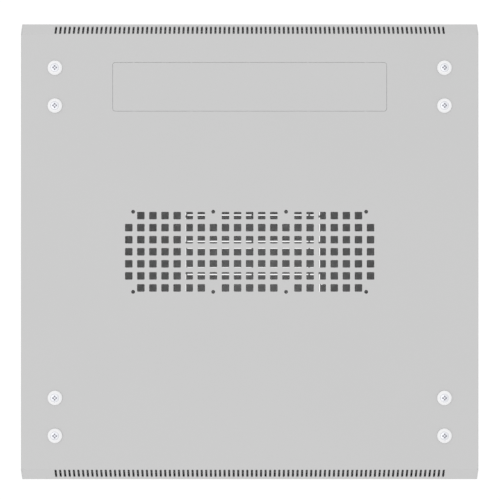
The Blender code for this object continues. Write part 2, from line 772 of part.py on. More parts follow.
def make_feet():
    """Four levelling feet, whose studs stand in the base."""
    profile = [
        (0, FOOT_STUD_TOP), (0.004, FOOT_STUD_TOP), (FOOT_STUD_RADIUS, FOOT_STUD_TOP - 0.001),
        (FOOT_STUD_RADIUS, 0.020), (0.009, 0.020), (0.009, 0.012), (0.0175, 0.009),
        (FOOT_RADIUS, 0.006), (FOOT_RADIUS, 0.001), (0.019, 0), (0, 0),
    ]
    mesh = turned_mesh("levelling_foot", profile)
    for end, sy in ENDS.items():
        for side, sx in SIDES.items():
            place = (sx * FOOT_PLACE[0], sy * FOOT_PLACE[1], 0)
            foot = pivot(f"foot_{end}_{side}_thread", place)
            part(f"foot_{end}_{side}", mesh, "foot_plastic", place, parent=foot)


def make_earth_stud():
    """The earthing stud with its nut, on the base at the rear."""
    profile = [
        (0, EARTH_STUD_TOP), (EARTH_STUD_RADIUS, EARTH_STUD_TOP), (EARTH_STUD_RADIUS, 0.0425),
        (0.007, 0.0425), (0.007, 0.036), (0.0085, 0.036), (0.0085, BASE_BOTTOM + SHEET + GAP),
        (0, BASE_BOTTOM + SHEET + GAP),
    ]
    part("earth_stud", turned_mesh("earth_stud", profile), "brass", (*EARTH_PLACE, 0))


def main():
    """Builds the cabinet from its trays inwards, then the doors, panels, locks and feet."""
    make_roof()
    make_base()
    make_posts()
    make_rails()
    make_braces()
    make_screws()
    make_hinge_brackets()
    locks = lock_meshes()
    quarter = math.pi / 2
    front = make_front_door()
    make_lock("front_lock", locks, (-LOCK_X, -DOOR_FACE, MID_HEIGHT), (quarter, 0, 0), front)
    rear = make_rear_door()
    rear_turn = (quarter, 0, 2 * quarter)
    make_lock("rear_lock", locks, (LOCK_X, DOOR_FACE, MID_HEIGHT), rear_turn, rear)
    for side, sx in SIDES.items():
        edge = make_side_panel(side, sx)
        turn = (0, quarter, 0 if sx > 0 else 2 * quarter)
        make_lock(f"side_lock_{side}", locks, (sx * WIDTH / 2, 0, SIDE_LOCK_HEIGHT), turn, edge)
    make_feet()
    make_earth_stud()


clear_scene()
PARTS = new_collection("network_server_cabinet")
CUTTERS = new_collection("cutters")
main()
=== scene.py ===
"""Finishes a network and server cabinet: its folded sheet metal, fasteners, locks and glass.

Metres, +Z up, +X to the right, the front faces -Y, the origin on the floor under the middle.
A sheet-metal piece starts as a flat blank in (u, v), is cut, gets its edges broken, and is
folded. A turned piece is a profile carried round an axis. Every piece rides on its solid body.
"""

import sys

import logging
import math
from dataclasses import dataclass, field
from enum import Enum
from typing import Callable

import bpy
import numpy as np
from mathutils.geometry import delaunay_2d_cdt
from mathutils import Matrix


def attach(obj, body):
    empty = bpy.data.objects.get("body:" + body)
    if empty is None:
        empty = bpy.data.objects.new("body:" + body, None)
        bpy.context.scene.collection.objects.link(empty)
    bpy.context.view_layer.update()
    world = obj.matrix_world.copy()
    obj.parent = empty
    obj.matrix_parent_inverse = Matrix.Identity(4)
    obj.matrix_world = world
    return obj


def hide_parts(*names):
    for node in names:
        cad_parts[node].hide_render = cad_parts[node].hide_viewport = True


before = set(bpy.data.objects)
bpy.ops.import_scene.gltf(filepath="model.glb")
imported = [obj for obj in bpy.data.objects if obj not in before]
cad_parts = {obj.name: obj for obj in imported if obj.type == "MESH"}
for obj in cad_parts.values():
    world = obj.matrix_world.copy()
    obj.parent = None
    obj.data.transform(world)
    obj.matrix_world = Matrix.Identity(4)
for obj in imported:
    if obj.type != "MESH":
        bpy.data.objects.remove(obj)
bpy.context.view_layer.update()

Array = np.ndarray
Point = tuple[float, float]
Triple = tuple[float, float, float]
Socket = bpy.types.NodeSocket
log = logging.getLogger("cabinet")

SNAP = 1e-4  # a fold line's end this close to a corner of the outline is that corner
SAME_PLACE = 1e-6  # points this close are one point
HALF_WIDTH = 0.300  # of the roof and the base
TRAY_DEPTH = 0.050
DOOR_MIDDLE = 1.015  # the height of the middle of the doors and side panels
SCREW_HOLE = 0.0033
LOCK_HOLE = 0.0099
HINGE_HOLE = 0.0034
PLAIN = ((1, 0, 0), (0, 1, 0), (0, 0, 1))
FACE_DOWN = ((1, 0, 0), (0, 1, 0), (0, 0, -1))


def upright(x: int, y: int) -> tuple:
    """Axes that stand a blank up: u along x times X, v up, and its face towards y times Y."""
    return (x, 0, 0), (0, 0, 1), (0, y, 0)


class Side(Enum):
    """The cabinet's left and right, seen from the front, with the sign of X."""

    LEFT = -1
    RIGHT = 1


class End(Enum):
    """The cabinet's front and rear, with the sign of Y."""

    FRONT = -1
    REAR = 1


class Slot(Enum):
    """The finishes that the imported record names."""

    GREY_PAINT = "grey_paint"
    ZINC_PLATE = "zinc_plate"
    DOOR_GLASS = "door_glass"
    WHITE_NYLON = "white_nylon"
    BRIGHT_STEEL = "bright_steel"
    LOCK_CHROME = "lock_chrome"
    FOOT_PLASTIC = "foot_plastic"
    BRASS = "brass"


def word(choice: Enum) -> str:
    """The lower-case name of a choice, as the solids' names spell it."""
    return choice.name.lower()


# ---------- lines on a flat blank


def rounded(corners: list[Point] | Array, radius: float, steps: int, closed: bool = True) -> Array:
    """Rounds the corners of a line of straight runs.

    At a corner the line turns by an angle a. The arc starts radius * tan(a / 2) before it,
    and its points are the start plus radius * (right normal now - right normal at the start),
    on the side it turns to.

    Args:
        corners: The corners in order.
        radius: The radius at every corner.
        steps: The number of chords in each arc.
        closed: Whether the last corner joins the first.

    Returns:
        The points of the rounded line, (n, 2).
    """
    corners = np.asarray(corners, float)
    before = corners - np.roll(corners, 1, 0)
    after = np.roll(corners, -1, 0) - corners
    before /= np.hypot(*before.T)[:, None]
    after /= np.hypot(*after.T)[:, None]
    turn = np.arctan2(
        before[:, 0] * after[:, 1] - before[:, 1] * after[:, 0], np.sum(before * after, 1)
    )
    start = corners - before * (radius * np.tan(np.abs(turn) / 2))[:, None]
    heading = np.arctan2(before[:, 1], before[:, 0])[:, None]
    heading = heading + turn[:, None] * np.linspace(0, 1, steps + 1)
    right = np.stack([np.sin(heading), -np.cos(heading)], -1)
    lean = (np.sign(turn) * radius)[:, None, None]
    arcs = start[:, None] + lean * (right - right[:, :1])
    if closed:
        return arcs.reshape(-1, 2)
    return np.concatenate([corners[:1], arcs[1:-1].reshape(-1, 2), corners[-1:]])


def rounded_box(centre: Point, half: Point, radius: float, steps: int = 2) -> Array:
    """An upright rectangle with rounded corners, anticlockwise: the four corners, rounded."""
    signs = np.array([(1, 1), (-1, 1), (-1, -1), (1, -1)])
    return rounded(centre + signs * half, radius, steps)


def ring(centre: Point, radius: float, count: int = 20) -> Array:
    """A circle of count points, anticlockwise: centre + radius * (cos a, sin a)."""
    angle = np.arange(count) * 2 * np.pi / count
    return np.array(centre) + radius * np.stack([np.cos(angle), np.sin(angle)], 1)


def hexagon(centre: Point, across_flats: float, radius: float = 0.0006) -> Array:
    """A hexagon with softened corners, anticlockwise."""
    corners = ring(centre, across_flats / math.sqrt(3), 6)
    return rounded(corners, radius, 2)


def slot_round(path: Array | list[Point], half: float, cap_steps: int = 4) -> Array:
    """A slot of even width round a path, with round ends, anticlockwise.

    The two long sides are the path plus and minus half times its right normal. Each end is
    the half circle between them.

    Args:
        path: The middle line, (n, 2).
        half: Half the slot's width.
        cap_steps: The number of chords in each round end.

    Returns:
        The slot's outline, (m, 2).
    """
    path = np.asarray(path, float)
    along = np.gradient(path, axis=0)
    along /= np.hypot(*along.T)[:, None]
    right = np.stack([along[:, 1], -along[:, 0]], 1)
    angle = np.linspace(0, np.pi, cap_steps + 1)[1:-1, None]
    far = path[-1] + half * (right[-1] * np.cos(angle) + along[-1] * np.sin(angle))
    near = path[0] - half * (right[0] * np.cos(angle) + along[0] * np.sin(angle))
    return np.concatenate([path + half * right, far, (path - half * right)[::-1], near])


def outward(loop: Array) -> Array:
    """Unit vectors out of the metal: to the right of the chord between a corner's neighbours."""
    chord = np.roll(loop, -1, 0) - np.roll(loop, 1, 0)
    return np.stack([chord[:, 1], -chord[:, 0]], 1) / np.hypot(*chord.T)[:, None]


def split(loop: Array, rows: Array) -> Array:
    """Adds a corner to a closed loop wherever one of its sides crosses a fold row of constant u.

    On the side from a to b the row at c is crossed at the share (c - a) / (b - a).

    Args:
        loop: The loop, (n, 2).
        rows: The u of each row.

    Returns:
        The loop with the extra corners in their order.
    """
    step = np.roll(loop, -1, 0) - loop
    span = step[:, :1]
    with np.errstate(divide="ignore", invalid="ignore"):
        share = (rows[None] - loop[:, :1]) / span
        least = SAME_PLACE / np.abs(span)
    side, row = np.nonzero((share > least) & (share < 1 - least))
    share = share[side, row]
    extra = loop[side] + share[:, None] * step[side]
    extra[:, 0] = rows[row]
    order = np.argsort(np.concatenate([np.arange(len(loop)), side + share]), kind="stable")
    return np.concatenate([loop, extra])[order]


def filled(points: Array, sizes: list[int], lines: Array) -> tuple[Array, Array, Array]:
    """Fills a blank between its outline and its holes with triangles.

    Args:
        points: The corners of the outline, anticlockwise, then of each hole, clockwise, then
            any loose ends of fold lines, (n, 2).
        sizes: The number of corners in the outline and in each hole.
        lines: Pairs of point numbers that triangles may not cross, (k, 2).

    Returns:
        The filling's points, its triangles, anticlockwise, and for each corner of a loop its
        number among the filling's points.
    """
    ends = np.cumsum(sizes)
    loops = [np.arange(end - size, end) for end, size in zip(ends, sizes)]
    faces = [loops[0].tolist()] + [loop[::-1].tolist() for loop in loops[1:]]
    result = delaunay_2d_cdt(points.tolist(), lines.tolist(), faces, 0, SAME_PLACE, True)
    made, _, triangles, from_points, _, from_faces = result
    flat = np.array([tuple(point) for point in made])
    corners = np.array(triangles)[[list(owners) == [0] for owners in from_faces]]
    a, b, c = (flat[corners[:, k]] for k in range(3))
    area = (b - a)[:, 0] * (c - a)[:, 1] - (b - a)[:, 1] * (c - a)[:, 0]
    corners[area < 0] = corners[area < 0][:, ::-1]
    counts = np.fromiter(map(len, from_points), int)
    where = np.empty(len(points), int)
    where[np.concatenate([np.array(ids, int) for ids in from_points if ids])] = np.repeat(
        np.arange(len(made)), counts
    )
    return flat, corners, where[: ends[-1]]


# ---------- closed skins


@dataclass(frozen=True)
class Placement:
    """Where a piece's own frame stands.

    A point (x, y, z) of it is at origin + x * axes[0] + y * axes[1] + z * axes[2].
    """

    origin: Triple = (0.0, 0.0, 0.0)
    axes: tuple = PLAIN

    def turned(self, vectors: Array) -> Array:
        """Vectors of the own frame, in the world's."""
        return vectors @ np.array(self.axes, float)

    def placed(self, points: Array) -> Array:
        """Points of the own frame, in the world's."""
        return self.turned(points) + np.array(self.origin, float)

    @property
    def mirrors(self) -> bool:
        """Whether the own frame is left-handed, so that faces have to be turned round."""
        return bool(np.linalg.det(np.array(self.axes, float)) < 0)


@dataclass(frozen=True)
class Shell:
    """A closed skin: corner places, normals, own coordinates, broken-edge marks and faces."""

    places: Array
    normals: Array
    own: Array
    edge: Array
    triangles: Array
    quads: Array

    def at(self, spot: Placement) -> "Shell":
        """The same skin at its place in the world."""
        order = slice(None, None, -1) if spot.mirrors else slice(None)
        return Shell(
            spot.placed(self.places), spot.turned(self.normals), self.own, self.edge,
            self.triangles[:, order], self.quads[:, order],
        )


def joined(shells: list[Shell]) -> Shell:
    """Several skins as one: their arrays end to end, with the corner numbers moved along."""
    starts = np.cumsum([0] + [len(shell.places) for shell in shells[:-1]])
    values = [
        np.concatenate([getattr(shell, key) for shell in shells])
        for key in ("places", "normals", "own", "edge")
    ]
    faces = [
        np.concatenate([getattr(shell, key) + start for shell, start in zip(shells, starts)])
        for key in ("triangles", "quads")
    ]
    return Shell(*values, *faces)


# ---------- folding


class FoldPath:
    """The outer face of a folded sheet, seen along its folds.

    Straight runs join the corners and each corner is a bend of one radius. The metal lies to
    the right of the way along. A distance s into a part that starts at P with a heading h and
    a curvature k, the heading is h + k s, and the point is P plus a chord of length
    s * sin(k s / 2) / (k s / 2) along the mean heading.
    """

    def __init__(
        self, corners: list[Point], radius: float, rows: int = 4, centred: bool = False
    ) -> None:
        """Works out where each run and bend starts.

        Args:
            corners: The sharp corners of the path.
            radius: The outer radius of every bend.
            rows: The number of chords that each bend is divided into.
            centred: Whether distances are counted from the middle of the path.
        """
        corners = np.array(corners, float)
        legs = np.diff(corners, axis=0)
        lengths = np.hypot(*legs.T)
        headings = np.arctan2(legs[:, 1], legs[:, 0])
        turns = (np.diff(headings) + np.pi) % (2 * np.pi) - np.pi
        cuts = radius * np.tan(np.abs(turns) / 2)
        ways = legs / lengths[:, None]
        parts = 2 * len(legs) - 1
        steps = np.zeros(parts)
        steps[0::2] = lengths - np.append(cuts, 0) - np.append(0, cuts)
        steps[1::2] = radius * np.abs(turns)
        self.curve = np.zeros(parts)
        self.curve[1::2] = np.sign(turns) / radius
        self.heading = np.repeat(headings, 2)[:-1]
        self.points = np.empty((parts, 2))
        self.points[0::2] = corners[:-1] + ways * np.append(0, cuts)[:, None]
        self.points[1::2] = corners[1:-1] - ways[:-1] * cuts[:, None]
        self.length = float(steps.sum())
        self.radius = radius
        self.shift = self.length / 2 if centred else 0.0
        self.starts = np.cumsum(np.append(0, steps))[:-1] - self.shift
        bends = self.starts[1::2]
        self.rows = np.linspace(bends, bends + steps[1::2], rows + 1, axis=1).ravel()

    def walk(self, s: Array) -> tuple[Array, Array]:
        """The points at distances s along the path, (n, 2), and the headings there, (n,)."""
        s = np.asarray(s, float)
        part = np.clip(np.searchsorted(self.starts, s, side="right") - 1, 0, None)
        run = s - self.starts[part]
        turned = self.curve[part] * run
        mean = self.heading[part] + turned / 2
        chord = run * np.sinc(turned / (2 * np.pi))
        along = np.stack([np.cos(mean), np.sin(mean)], -1)
        return self.points[part] + chord[..., None] * along, mean + turned / 2

    def bent(self, u: Array, v: Array) -> tuple[Array, Array, Array, Array]:
        """A blank bent along this path, with v straight: points and the ways of u, v and out."""
        points, heading = self.walk(u)
        zero, one = np.zeros(len(u)), np.ones(len(u))
        cos, sin = np.cos(heading), np.sin(heading)
        return (
            np.stack([points[:, 0], v, points[:, 1]], 1), np.stack([cos, zero, sin], 1),
            np.stack([zero, one, zero], 1), np.stack([-sin, zero, cos], 1),
        )

    def nearest(self, place: Point) -> float:
        """The distance along the path of its point nearest to a place, by three rounds of trial."""
        low, high = -self.shift, self.length - self.shift
        for _ in range(3):
            trial = np.linspace(low, high, 2001)
            best = trial[np.argmin(np.hypot(*(self.walk(trial)[0] - np.array(place)).T))]
            reach = (high - low) / 500
            low, high = best - reach, best + reach
        return float(best)


@dataclass
class ChannelFold:
    """Folds a blank along one path: u runs along the path and v stays straight."""

    path: FoldPath

    def with_line_ends(self, outline: Array) -> Array:
        """An outline with a corner at each end of each fold line."""
        return split(outline, self.path.rows)

    def surface(self, flat: Array) -> tuple[Array, Array, Array, Array]:
        """The outer face: points and the directions of u, of v and out of the metal."""
        return self.path.bent(*flat.T)

    def lines(self, outline: Array) -> Array:
        """The fold lines as pairs of ends, each from edge to edge of the outline, (k, 2, 2)."""
        made = []
        for row in self.path.rows:
            on_row = outline[np.abs(outline[:, 0] - row) < SAME_PLACE]
            made.append([on_row[np.argmin(on_row[:, 1])], on_row[np.argmax(on_row[:, 1])]])
        return np.array(made).reshape(-1, 2, 2)


FLAT = ChannelFold(FoldPath([(0, 0), (1, 0)], 1.0))  # leaves a blank as it is


class TrayFold:
    """Folds a tray: the returns at both ends of u and of v are bent away from the face.

    The u returns are flaps whose ends cover the ends of the v returns. The corner between
    them is a narrow slit, which reaches a notch's depth past the fold into the face.
    """

    NOTCH_DEPTH = 0.0003
    LINE_STOP = 0.0005  # a fold line stops this far short of the notch

    def __init__(self, across: FoldPath, along: FoldPath, thickness: float) -> None:
        """Works out where the folds and the corner slits are.

        Args:
            across: The centred path of u.
            along: The centred path of v.
            thickness: The sheet's thickness.
        """
        self.across, self.along = across, along
        self.u_fold = across.starts[len(across.starts) // 2 + 1]
        self.v_fold = along.starts[len(along.starts) // 2 + 1]
        far_u = across.walk(np.array([across.length / 2]))[0][0, 0]
        self.slit = far_u - thickness
        self.slit_half = 0.00005
        self.notch = self.v_fold - self.NOTCH_DEPTH
        trial = np.linspace(self.v_fold, along.length / 2, 800)
        profile = along.walk(trial)[0]
        self.edge_drop, self.edge_v = -profile[:, 1], profile[:, 0]

    def with_line_ends(self, outline: Array) -> Array:
        """The outline as it is, because the tray's own has a corner at each fold line's end."""
        return outline

    def flap_edge(self, u: Array) -> Array:
        """Where the edge of a u flap is: as far out as the v return is at the same drop."""
        drop = -self.across.walk(u)[0][:, 1]
        return np.interp(drop, self.edge_drop, self.edge_v)

    def surface(self, flat: Array) -> tuple[Array, Array, Array, Array]:
        """The outer face: points and the directions of u, of v and out of the metal.

        A flap is bent along the path of u, and all the rest along the path of v.
        """
        u, v = flat.T
        on_strip = (np.abs(v) > self.notch) & (np.abs(u) < self.slit)
        on_flap = ((np.abs(u) > self.u_fold) & ~on_strip)[:, None]
        flap = self.across.bent(u, v)
        places, v_way, u_way, up = (part[:, [1, 0, 2]] for part in self.along.bent(v, u))
        strip = (places, u_way, v_way, up)
        return tuple(np.where(on_flap, *parts) for parts in zip(flap, strip))

    def lines(self, outline: Array) -> Array:
        """The fold lines as pairs of ends, (k, 2, 2)."""
        strip = self.slit - self.slit_half
        rows = self.across.rows
        reach = np.where(
            np.abs(rows) > self.slit, self.flap_edge(np.abs(rows)), self.notch - self.LINE_STOP
        )
        v_lines = [[(-strip, row), (strip, row)] for row in self.along.rows]
        u_lines = [[(row, -end), (row, end)] for row, end in zip(rows, reach)]
        return np.array(v_lines + u_lines)

    def outline(self, corner: float = 0.0008) -> Array:
        """The blank's outline, anticlockwise: one quarter, then its three mirror images."""
        far_u, far_v = self.across.length / 2, self.along.length / 2
        first = self.slit + self.slit_half
        v_rows = np.sort(self.along.rows[self.along.rows > 0])
        drops = -self.along.walk(v_rows)[0][:, 1]
        radius = self.across.radius
        arc_end = self.u_fold + radius * np.pi / 2
        deep = arc_end + drops[drops > 1.5 * radius] - radius
        deep = deep[deep < far_u - 2 * corner]
        u_rows = self.across.rows
        u = np.concatenate([[first], u_rows[u_rows > first + SNAP], deep])
        u = np.sort(u)[::-1]
        flap = np.stack([u, self.flap_edge(u)], 1)
        end_v = self.flap_edge(np.array([far_u]))[0]
        cut = 0.29 * corner
        strip = self.slit - self.slit_half
        quarter = np.concatenate([
            [(far_u, end_v - corner), (far_u - cut, end_v - cut), (far_u - corner, end_v)],
            flap,
            [(first, self.notch), (strip, self.notch)],
            np.stack([np.full(len(v_rows), strip), v_rows], 1),
            [(strip, far_v - corner), (strip - cut, far_v - cut), (strip - corner, far_v)],
        ])
        return np.concatenate([
            quarter, (quarter * (-1, 1))[::-1], -quarter, (quarter * (1, -1))[::-1],
        ])


@dataclass
class Sheet:
    """A piece of sheet metal: a blank with holes, its edges broken to a radius, then folded."""

    fold: ChannelFold | TrayFold
    outline: Array
    holes: list[Array] = field(default_factory=list)
    thickness: float = 0.0015
    edge_radius: float = 0.0002
    edge_steps: int = 2

    def shell(self) -> Shell:
        """The sheet's closed skin.

        Both faces are the same filling, one at depth 0 and one at the thickness. Along every
        loop, rows at tilts t from 0 to 180 degrees join them: inset = radius * (1 - sin t),
        depth = radius * (1 - |cos t|) from the nearer face, normal = cos t * face normal +
        sin t * the way out of the metal.
        """
        outline = self.fold.with_line_ends(self.outline)
        loops = [outline] + [hole[::-1] for hole in self.holes]
        wall = np.concatenate(loops)
        out = np.concatenate([outward(loop) for loop in loops])
        sizes = [len(loop) for loop in loops]
        ends = np.cumsum(sizes)
        after = np.arange(len(wall)) + 1
        after[ends - 1] = ends - sizes
        inner = wall - self.edge_radius * out
        line_ends = self.fold.lines(outline).reshape(-1, 2)
        gaps = np.linalg.norm(line_ends[:, None] - outline[None], axis=2)
        known, numbers = gaps.min(1) < SNAP, gaps.argmin(1)
        numbers[~known] = len(wall) + np.arange(np.count_nonzero(~known))
        points = np.concatenate([inner, line_ends[~known]])
        flat, triangles, where = filled(points, sizes, numbers.reshape(-1, 2))

        tilt = np.linspace(0, np.pi / 2, self.edge_steps + 1)[1:]
        tilt = np.concatenate([tilt, np.pi - tilt[::-1]])
        inset = self.edge_radius * (1 - np.sin(tilt))
        depth = self.edge_radius * (1 - np.abs(np.cos(tilt)))
        depth = np.where(np.arange(len(tilt)) < self.edge_steps, depth, self.thickness - depth)
        rows = (wall[None] - inset[:, None, None] * out[None]).reshape(-1, 2)
        way_out = np.tile(out, (len(tilt), 1))
        row_tilt = np.repeat(tilt, len(wall))[:, None]
        row_depth = np.repeat(depth, len(wall))

        count = len(flat)
        own = np.concatenate([flat, flat, rows])
        all_depth = np.concatenate([np.zeros(count), np.full(count, self.thickness), row_depth])
        face, u_way, v_way, up = self.fold.surface(own)
        places = face - all_depth[:, None] * up
        sideways = way_out[:, :1] * u_way[2 * count:] + way_out[:, 1:] * v_way[2 * count:]
        edge_normals = np.cos(row_tilt) * up[2 * count:] + np.sin(row_tilt) * sideways
        normals = np.concatenate([up[:count], -up[:count], edge_normals])
        own = np.column_stack([own, -all_depth])
        mark = np.repeat([0.0, 1.0], [2 * count, len(rows)])
        index = np.vstack([
            where, 2 * count + np.arange(len(rows)).reshape(len(tilt), -1), count + where,
        ])
        above, below = index[:-1], index[1:]
        quads = np.stack([above, below, below[:, after], above[:, after]], -1).reshape(-1, 4)
        both = np.concatenate([triangles, count + triangles[:, ::-1]])
        return Shell(places, normals, own, mark, both, quads)


def plate(outline: Array, holes: list[Array], thickness: float, edge: float = 0.0003) -> Shell:
    """A flat plate in its own frame: its face at z = 0, its back at z = -thickness."""
    return Sheet(FLAT, outline, holes, thickness, edge, 1).shell()


# ---------- turned and swept skins


def grid_skin(places: Array, normals: Array, wrap_rows: bool, poles: bool) -> Shell:
    """Joins a grid of places into a skin that closes round its columns.

    Args:
        places: (rows, columns, 3). Row by column turns to the outside by the right hand.
        normals: The same shape.
        wrap_rows: Whether the last row joins the first.
        poles: Whether the first and the last row are each one point.

    Returns:
        The skin, with triangles only at its poles.
    """
    rows, columns = places.shape[:2]
    number = np.arange(rows * columns).reshape(rows, columns)
    if wrap_rows:
        number = np.vstack([number, number[:1]])
    number = np.hstack([number, number[:, :1]])
    body = number[1:-1] if poles else number
    quads = np.stack([body[:-1, :-1], body[1:, :-1], body[1:, 1:], body[:-1, 1:]], -1)
    triangles = np.zeros((0, 3), int)
    if poles:
        first, last = np.full(columns, number[0, 0]), np.full(columns, number[-1, 0])
        triangles = np.concatenate([
            np.stack([first, number[1, :-1], number[1, 1:]], 1),
            np.stack([number[-2, :-1], last, number[-2, 1:]], 1),
        ])
    quads = quads.reshape(-1, 4)
    used, back = np.unique(np.concatenate([triangles.ravel(), quads.ravel()]), return_inverse=True)
    back = back.ravel()
    flat = places.reshape(-1, 3)[used]
    return Shell(
        flat, normals.reshape(-1, 3)[used], flat, np.zeros(len(used)),
        back[: triangles.size].reshape(-1, 3), back[triangles.size:].reshape(-1, 4),
    )


def turned(
    profile: Array, count: int = 32, closed: bool = False,
    sink: Callable[[Array, Array], Array] | None = None,
) -> Shell:
    """Turns a profile about its own Z: place = (r cos a, r sin a, z).

    The metal lies to the right of the way along the profile. An open profile starts and ends
    on the axis. A sink lowers the upper face by its depth at (x, y).

    Args:
        profile: Points of (radius, height), (n, 2).
        count: The number of columns round the axis.
        closed: Whether the profile is a ring that never meets the axis.
        sink: A depth below the turned face, for a recess.

    Returns:
        The turned skin about the origin.
    """
    if closed:
        chord = np.roll(profile, -1, 0) - np.roll(profile, 1, 0)
    else:
        chord = np.gradient(profile, axis=0)
    chord /= np.hypot(*chord.T)[:, None]
    out_r, out_z = -chord[:, 1], chord[:, 0]
    if not closed:
        out_r[[0, -1]], out_z[0], out_z[-1] = 0.0, 1.0, -1.0
    angle = np.arange(count) * 2 * np.pi / count
    cos, sin = np.cos(angle)[None], np.sin(angle)[None]
    radius, height = profile[:, :1], profile[:, 1:]
    x, y = radius * cos, radius * sin
    z = height + 0 * cos
    normals = np.stack([out_r[:, None] * cos, out_r[:, None] * sin, out_z[:, None] + 0 * cos], -1)
    places = np.stack([x, y, z], -1)
    if sink:
        places[..., 2] -= np.where(out_z[:, None] > 0.3, sink(x, y), 0.0)
        down = np.gradient(places, axis=0)
        round_it = np.roll(places, -1, 1) - np.roll(places, 1, 1)
        normals = np.cross(down, round_it)
        normals[0], normals[-1] = (0, 0, 1), (0, 0, -1)
        normals /= np.linalg.norm(normals, axis=2, keepdims=True)
    return grid_skin(places, normals, closed, not closed)


def turned_ring(corners: list[Point], radius: float, count: int = 40) -> Shell:
    """A ring turned from a section of sharp corners, which are rounded first."""
    return turned(rounded(corners, radius, 3), count, closed=True)


def turned_solid(corners: list[Point], radius: float, count: int = 32) -> Shell:
    """A solid turned from a half section that starts and ends on the axis."""
    return turned(rounded(corners, radius, 3, closed=False), count)


def swept(loop: Array, section: Array) -> Shell:
    """Carries a closed section round a closed loop: place = loop + a * way out + b * up.

    Args:
        loop: The path in its own plane, anticlockwise, (n, 2).
        section: Points of (out of the loop, up), anticlockwise, (m, 2).

    Returns:
        The swept skin.
    """
    out = outward(loop)
    turn = outward(section)
    flat = loop[None] + section[:, None, :1] * out[None]
    height = np.repeat(section[:, 1:], len(loop), 1)
    places = np.concatenate([flat, height[..., None]], -1)
    sideways = turn[:, None, :1] * out[None]
    upwards = np.repeat(turn[:, 1:], len(loop), 1)
    normals = np.concatenate([sideways, upwards[..., None]], -1)
    return grid_skin(places[::-1], normals[::-1], True, False)


# ---------- finishes


class Recipe:
    """Puts together the nodes of one material."""

    def __init__(self, name: str) -> None:
        """Starts a material with its shader."""
        self.material = bpy.data.materials.new(name)
        self.material.use_nodes = True
        self.tree = self.material.node_tree
        self.shader = self.tree.nodes["Principled BSDF"]
        self.object_place = self.add("ShaderNodeTexCoord").outputs["Object"]

    def add(self, kind: str, sockets: dict | None = None, **settings: object) -> bpy.types.Node:
        """Adds a node, with its settings, and with its sockets set or joined."""
        node = self.tree.nodes.new(kind)
        for key, value in settings.items():
            setattr(node, key, value)
        for key, value in (sockets or {}).items():
            self.put(node, key, value)
        return node

    def put(self, node: bpy.types.Node, key: str | int, value: object) -> None:
        """Sets a socket to a number or colour, or joins it to another node's output."""
        if isinstance(value, Socket):
            self.tree.links.new(value, node.inputs[key])
        else:
            node.inputs[key].default_value = value

    def own(self) -> Socket:
        """The coordinates that a piece carries on its own surface."""
        return self.add("ShaderNodeAttribute", attribute_name="own").outputs["Vector"]

    def edge(self) -> Socket:
        """The mark that is 1 on broken edges."""
        return self.add("ShaderNodeAttribute", attribute_name="edge").outputs["Fac"]

    def stretched(self, place: Socket, scale: tuple) -> Socket:
        """Coordinates with another scale along each axis."""
        return self.add("ShaderNodeMapping", {"Vector": place, "Scale": scale}).outputs[0]

    def noise(
        self, scale: float, detail: float, place: Socket | None = None, rough: float = 0.5
    ) -> Socket:
        """Cloudy noise of about 0 to 1, with features 1 / scale metres wide."""
        sockets = {
            "Vector": place or self.object_place, "Scale": scale, "Detail": detail,
            "Roughness": rough,
        }
        return self.add("ShaderNodeTexNoise", sockets).outputs[0]

    def cells(self, width: float) -> bpy.types.Node:
        """Random cells of one width."""
        sockets = {"Vector": self.object_place, "Scale": 1.0 / width}
        return self.add("ShaderNodeTexVoronoi", sockets)

    def span(
        self, value: Socket, low: float, high: float, start: float = 0.3, end: float = 0.7
    ) -> Socket:
        """Maps start..end to low..high, clamped."""
        sockets = {0: value, 1: start, 2: end, 3: low, 4: high}
        return self.add("ShaderNodeMapRange", sockets).outputs[0]

    def clouds(
        self, scale: float, detail: float, low: float = 0.0, high: float = 1.0, rough: float = 0.5
    ) -> Socket:
        """Cloudy noise, spread from low to high."""
        return self.span(self.noise(scale, detail, rough=rough), low, high)

    def apart(self, place: Socket) -> list[Socket]:
        """The three coordinates of a place."""
        return self.add("ShaderNodeSeparateXYZ", {0: place}).outputs

    def math(self, operation: str, a: Socket | float, b: object = 0.0) -> Socket:
        """One sum on two numbers."""
        return self.add("ShaderNodeMath", {0: a, 1: b}, operation=operation).outputs[0]

    def mixed(self, share: Socket, first: object, second: object) -> Socket:
        """A colour between two others, each a colour or a socket."""
        sockets = {0: share, 6: as_colour(first), 7: as_colour(second)}
        return self.add("ShaderNodeMix", sockets, data_type="RGBA").outputs[2]

    def bump(self, height: Socket, distance: float, under: Socket | None = None) -> Socket:
        """A bumped normal from a height of 0 to 1, over another normal if one is given."""
        sockets = {"Height": height, "Distance": distance, "Strength": 1.0}
        if under:
            sockets["Normal"] = under
        return self.add("ShaderNodeBump", sockets).outputs[0]

    def finish(self, **sockets: object) -> bpy.types.Material:
        """Sets or joins the shader's own sockets and gives the material."""
        for key, value in sockets.items():
            self.put(self.shader, key.replace("_", " "), as_colour(value))
        return self.material


def as_colour(value: object) -> object:
    """A colour of three numbers with its fourth, and anything else as it is."""
    if isinstance(value, (tuple, Array)) and len(value) == 3:
        return (*value, 1.0)
    return value


@dataclass(frozen=True)
class Finish:
    """A finish by name. Its material is made once and shared."""

    name: str
    slot: Slot

    def material(self) -> bpy.types.Material:
        """The finish's material."""
        return bpy.data.materials.get(self.name) or self.mixed_up(Recipe(self.name))

    def mixed_up(self, recipe: Recipe) -> bpy.types.Material:
        """Fills in the recipe. Each finish has its own."""
        raise NotImplementedError


